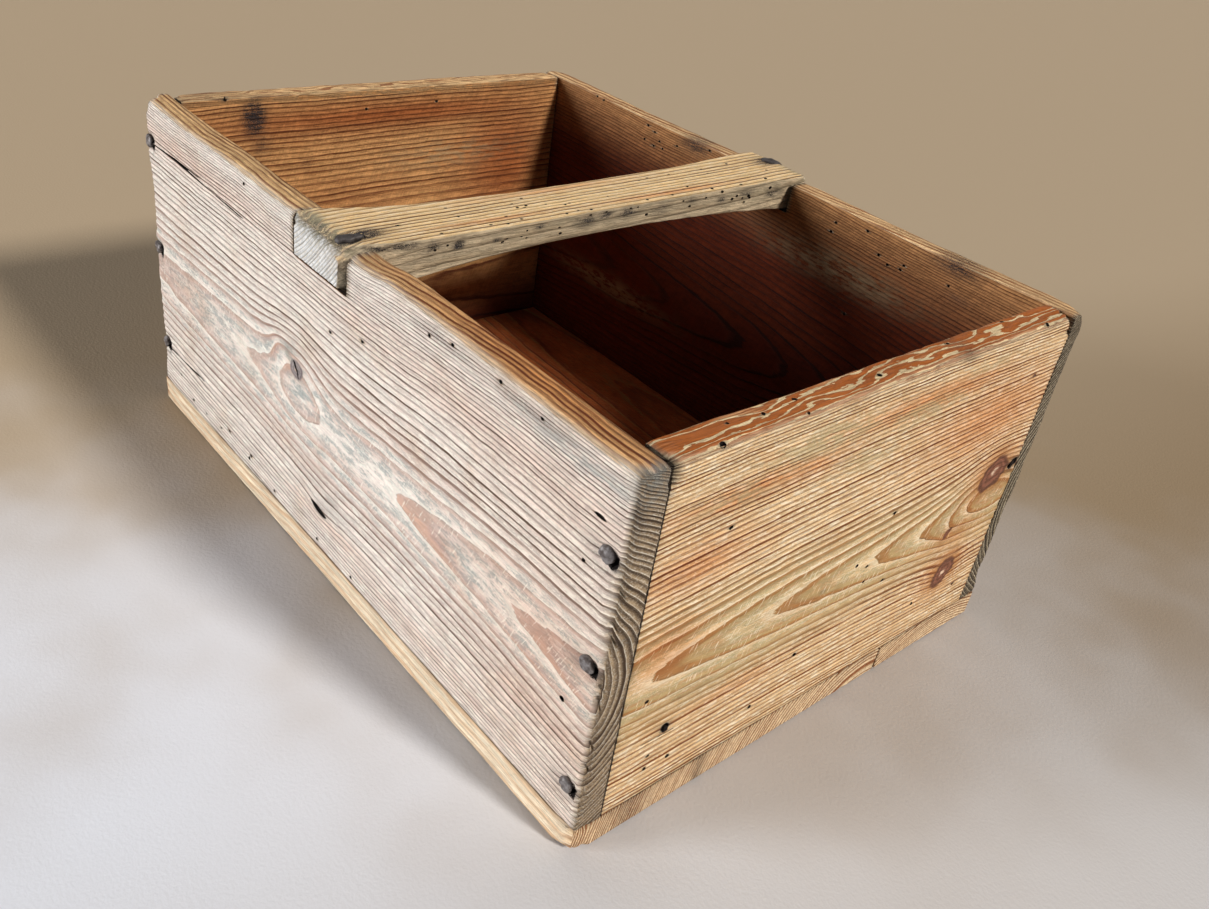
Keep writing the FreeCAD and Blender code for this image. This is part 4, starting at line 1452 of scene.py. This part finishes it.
class CHEST_OT_corner_nails(bpy.types.Operator):
    """Drive three nails through each corner of the walls"""
    bl_idname = "chest.corner_nails"
    bl_label = "Corner nails"

    def execute(self, context):
        unevenness = context.scene.forged_iron.unevenness
        wall_face = 190
        blank = nail_blank(head_width=9, head_length=10.6, proud=1.8, buried=1.6,
                           shank=4.4, point=1.4, length=58)
        for side, outward, seed in (("front", -1, 41), ("back", 1, 51)):
            for end, (along, heights) in CORNER_NAILS.items():
                places = [(along, outward * wall_face, height) for height in heights]
                drive_nails(blank, f"{side}_{end}_corner_nails", places, rotation(-90 * outward, "X"),
                            unevenness, seed + len(end))
        bpy.data.objects.remove(blank)
        return {"FINISHED"}


class CHEST_OT_bar_nails(bpy.types.Operator):
    """Drive one long-headed nail through each end of the carry bar"""
    bl_idname = "chest.bar_nails"
    bl_label = "Bar nails"

    def execute(self, context):
        unevenness = context.scene.forged_iron.unevenness
        blank = nail_blank(head_width=7.5, head_length=17, proud=1.8, buried=1.6,
                           shank=4.6, point=1.6, length=58)
        for side, height, tilt, spin in (("front", 249.6, 10, -27), ("back", 253.6, -3, -50)):
            along, across = BAR_NAILS[side]
            drive_nails(blank, f"{side}_bar_nail", [(across, along, height)],
                        rotation(tilt, "X") @ rotation(spin, "Z"), unevenness, 71 + len(side))
        bpy.data.objects.remove(blank)
        return {"FINISHED"}


class CHEST_OT_floor_nails(bpy.types.Operator):
    """Drive the rows of nails that hold the floor boards from below"""
    bl_idname = "chest.floor_nails"
    bl_label = "Floor nails"

    def execute(self, context):
        unevenness = context.scene.forged_iron.unevenness * 0.4
        underside, side_row, end_row = 0.5, 181.5, 259.5
        along_sides = (-232, -116, 0, 116, 232)
        along_ends = (-109.75, 14.75, 101, 148.4)
        rows = {"front": [(along, -side_row, underside) for along in along_sides],
                "back": [(along, side_row, underside) for along in along_sides],
                "left": [(-end_row, across, underside) for across in along_ends],
                "right": [(end_row, across, underside) for across in along_ends]}
        blank = nail_blank(head_width=8, head_length=8, proud=0.4, buried=1.8,
                           shank=3.6, point=1.2, length=41)
        for side, places in rows.items():
            drive_nails(blank, f"{side}_floor_nails", places, rotation(180, "X"), unevenness,
                        91 + len(side))
        bpy.data.objects.remove(blank)
        return {"FINISHED"}


# ---------------------------------------------------------------- stage

# The camera's place in metres, its turn about x, y and z in degrees, and its sensor in mm.
CAMERA_PLACE = (0.5219, -0.4697, 0.4966)
CAMERA_TURN = (57.1233, -8.0847, 49.9018)
SENSOR_WIDTH = 36

# Each far lamp, by the name of its strength: where it shines from, its softness in degrees and
# the tint of its light.
LAMPS = {
    "window": ((-1.0, -2.0, 0.42), 22, (0.98, 0.985, 1.0)),
    "lamp": ((1.8, 0.4, 1.35), 8, (1.0, 0.95, 0.88)),
    "fill": ((-1.5, 1.6, 1.2), 60, (1.0, 0.97, 0.93)),
}
SKY_TINT = (0.95, 0.96, 1.0, 1)

# The floor's width and how far below the chest it lies, in metres, and the tint of the painted shade at its
# right.
FLOOR_SIZE = 40
FLOOR_GAP = 0.6 * MM
RIGHT_SHADE = (0.77, 0.71, 0.635)


class CHEST_OT_stage(bpy.types.Operator):
    """Lay the floor, and set the camera and the lamps"""
    bl_idname = "chest.stage"
    bl_label = "Stage"

    def execute(self, context):
        stage = context.scene.chest_stage
        set_camera(context.scene, stage)
        set_lights(context.scene, stage)
        lay_floor(stage)
        return {"FINISHED"}


def set_camera(scene, stage):
    """The camera stands at the chest's right front corner, looks down on it and is rolled a little."""
    data = bpy.data.cameras.new("camera")
    data.lens, data.sensor_width = stage.lens, SENSOR_WIDTH
    camera = bpy.data.objects.new("camera", data)
    turn = Euler([math.radians(angle) for angle in CAMERA_TURN])
    camera.matrix_world = Matrix.LocRotScale(Vector(CAMERA_PLACE), turn, None)
    scene.collection.objects.link(camera)
    scene.camera = camera
    scene.view_settings.view_transform = "Standard"


def set_lights(scene, stage):
    """A low cool window in front, a warm lamp at the right, weak light from behind, and the sky."""
    for name, (source, softness, tint) in LAMPS.items():
        data = bpy.data.lights.new(name, "SUN")
        data.energy, data.color, data.angle = getattr(stage, name), tint, math.radians(softness)
        lamp = bpy.data.objects.new(name, data)
        lamp.location = source
        lamp.rotation_euler = (-Vector(source)).to_track_quat("-Z", "Y").to_euler()
        scene.collection.objects.link(lamp)
    world = bpy.data.worlds.new("room")
    world.use_nodes = True
    background = world.node_tree.nodes["Background"]
    background.inputs["Color"].default_value = SKY_TINT
    background.inputs["Strength"].default_value = stage.sky
    scene.world = world


def lay_floor(stage):
    """A wide sheet of pale cloth, flat on the ground: browner far behind the chest, and darker and
    warmer at its right, where shade is painted. It lies a hair below the chest, so that no worn
    edge pokes through it."""
    deselect_all()
    bpy.ops.mesh.primitive_plane_add(size=FLOOR_SIZE, location=(0, 0, -FLOOR_GAP))
    floor = bpy.context.object
    floor.name = floor.data.name = "floor_cloth"
    material, recipe = new_material("floor_cloth")
    coordinates = recipe.node("ShaderNodeTexCoord").outputs["Object"]
    weave = recipe.noise(coordinates, scale=420, detail=3)
    folds = recipe.noise(coordinates, scale=5, detail=3)
    away = recipe.node("ShaderNodeVectorMath", {0: coordinates, 1: (-0.8, 0.6, 0)}, operation="DOT_PRODUCT")
    away = recipe.math("ADD", away.outputs["Value"], recipe.step(folds, 0.3, 0.7, -0.08, 0.08))
    paint = recipe.mix(recipe.step(away, -0.42, 0.14), stage.floor, stage.far_floor)
    right = recipe.node("ShaderNodeSeparateXYZ", {0: coordinates}).outputs["X"]
    # Painted shade: the right part of the floor is darkened and warmed.
    paint = recipe.mix(recipe.step(right, -0.05, 0.45), paint, RIGHT_SHADE, blend="MULTIPLY")
    recipe.surface(0.25, 1 * MM, weave, {"Base Color": paint, "Roughness": 0.95, "Specular IOR Level": 0.1})
    floor.data.materials.append(material)


# ---------------------------------------------------------------- the add-on

GROUP_PROPERTIES = {
    "bleached_side": BleachedSide,
    "brown_side": BrownSide,
    "golden_end": GoldenEnd,
    "floor_wood": FloorWood,
    "bar_wood": BarWood,
    "forged_iron": ForgedIron,
    "chest_wear": ChestWear,
    "chest_stage": Stage,
}

OPERATORS = (
    CHEST_OT_stage,
    CHEST_OT_side_boards,
    CHEST_OT_end_boards,
    CHEST_OT_floor_boards,
    CHEST_OT_carry_bar,
    CHEST_OT_corner_nails,
    CHEST_OT_bar_nails,
    CHEST_OT_floor_nails,
)


class VIEW3D_PT_chest(bpy.types.Panel):
    """Lists the steps that build the chest"""
    bl_label = "Tool chest"
    bl_idname = "VIEW3D_PT_chest"
    bl_space_type = "VIEW_3D"
    bl_region_type = "UI"
    bl_category = "Chest"

    def draw(self, context):
        for operator in OPERATORS:
            self.layout.operator(operator.bl_idname)


def register():
    """Makes the classes and the scene's property groups known."""
    for group in GROUP_PROPERTIES.values():
        bpy.utils.register_class(group)
    for name, group in GROUP_PROPERTIES.items():
        setattr(bpy.types.Scene, name, PointerProperty(type=group))
    for operator in OPERATORS:
        bpy.utils.register_class(operator)
    bpy.utils.register_class(VIEW3D_PT_chest)


def unregister():
    """Takes them away again."""
    bpy.utils.unregister_class(VIEW3D_PT_chest)
    for operator in reversed(OPERATORS):
        bpy.utils.unregister_class(operator)
    for name in GROUP_PROPERTIES:
        delattr(bpy.types.Scene, name)
    for group in reversed(GROUP_PROPERTIES.values()):
        bpy.utils.unregister_class(group)


def main():
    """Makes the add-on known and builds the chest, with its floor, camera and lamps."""
    register()
    bpy.ops.chest.stage()
    bpy.ops.chest.side_boards()
    bpy.ops.chest.end_boards()
    bpy.ops.chest.floor_boards()
    bpy.ops.chest.carry_bar()
    bpy.ops.chest.corner_nails()
    bpy.ops.chest.bar_nails()
    bpy.ops.chest.floor_nails()


if __name__ == "__main__":
    main()
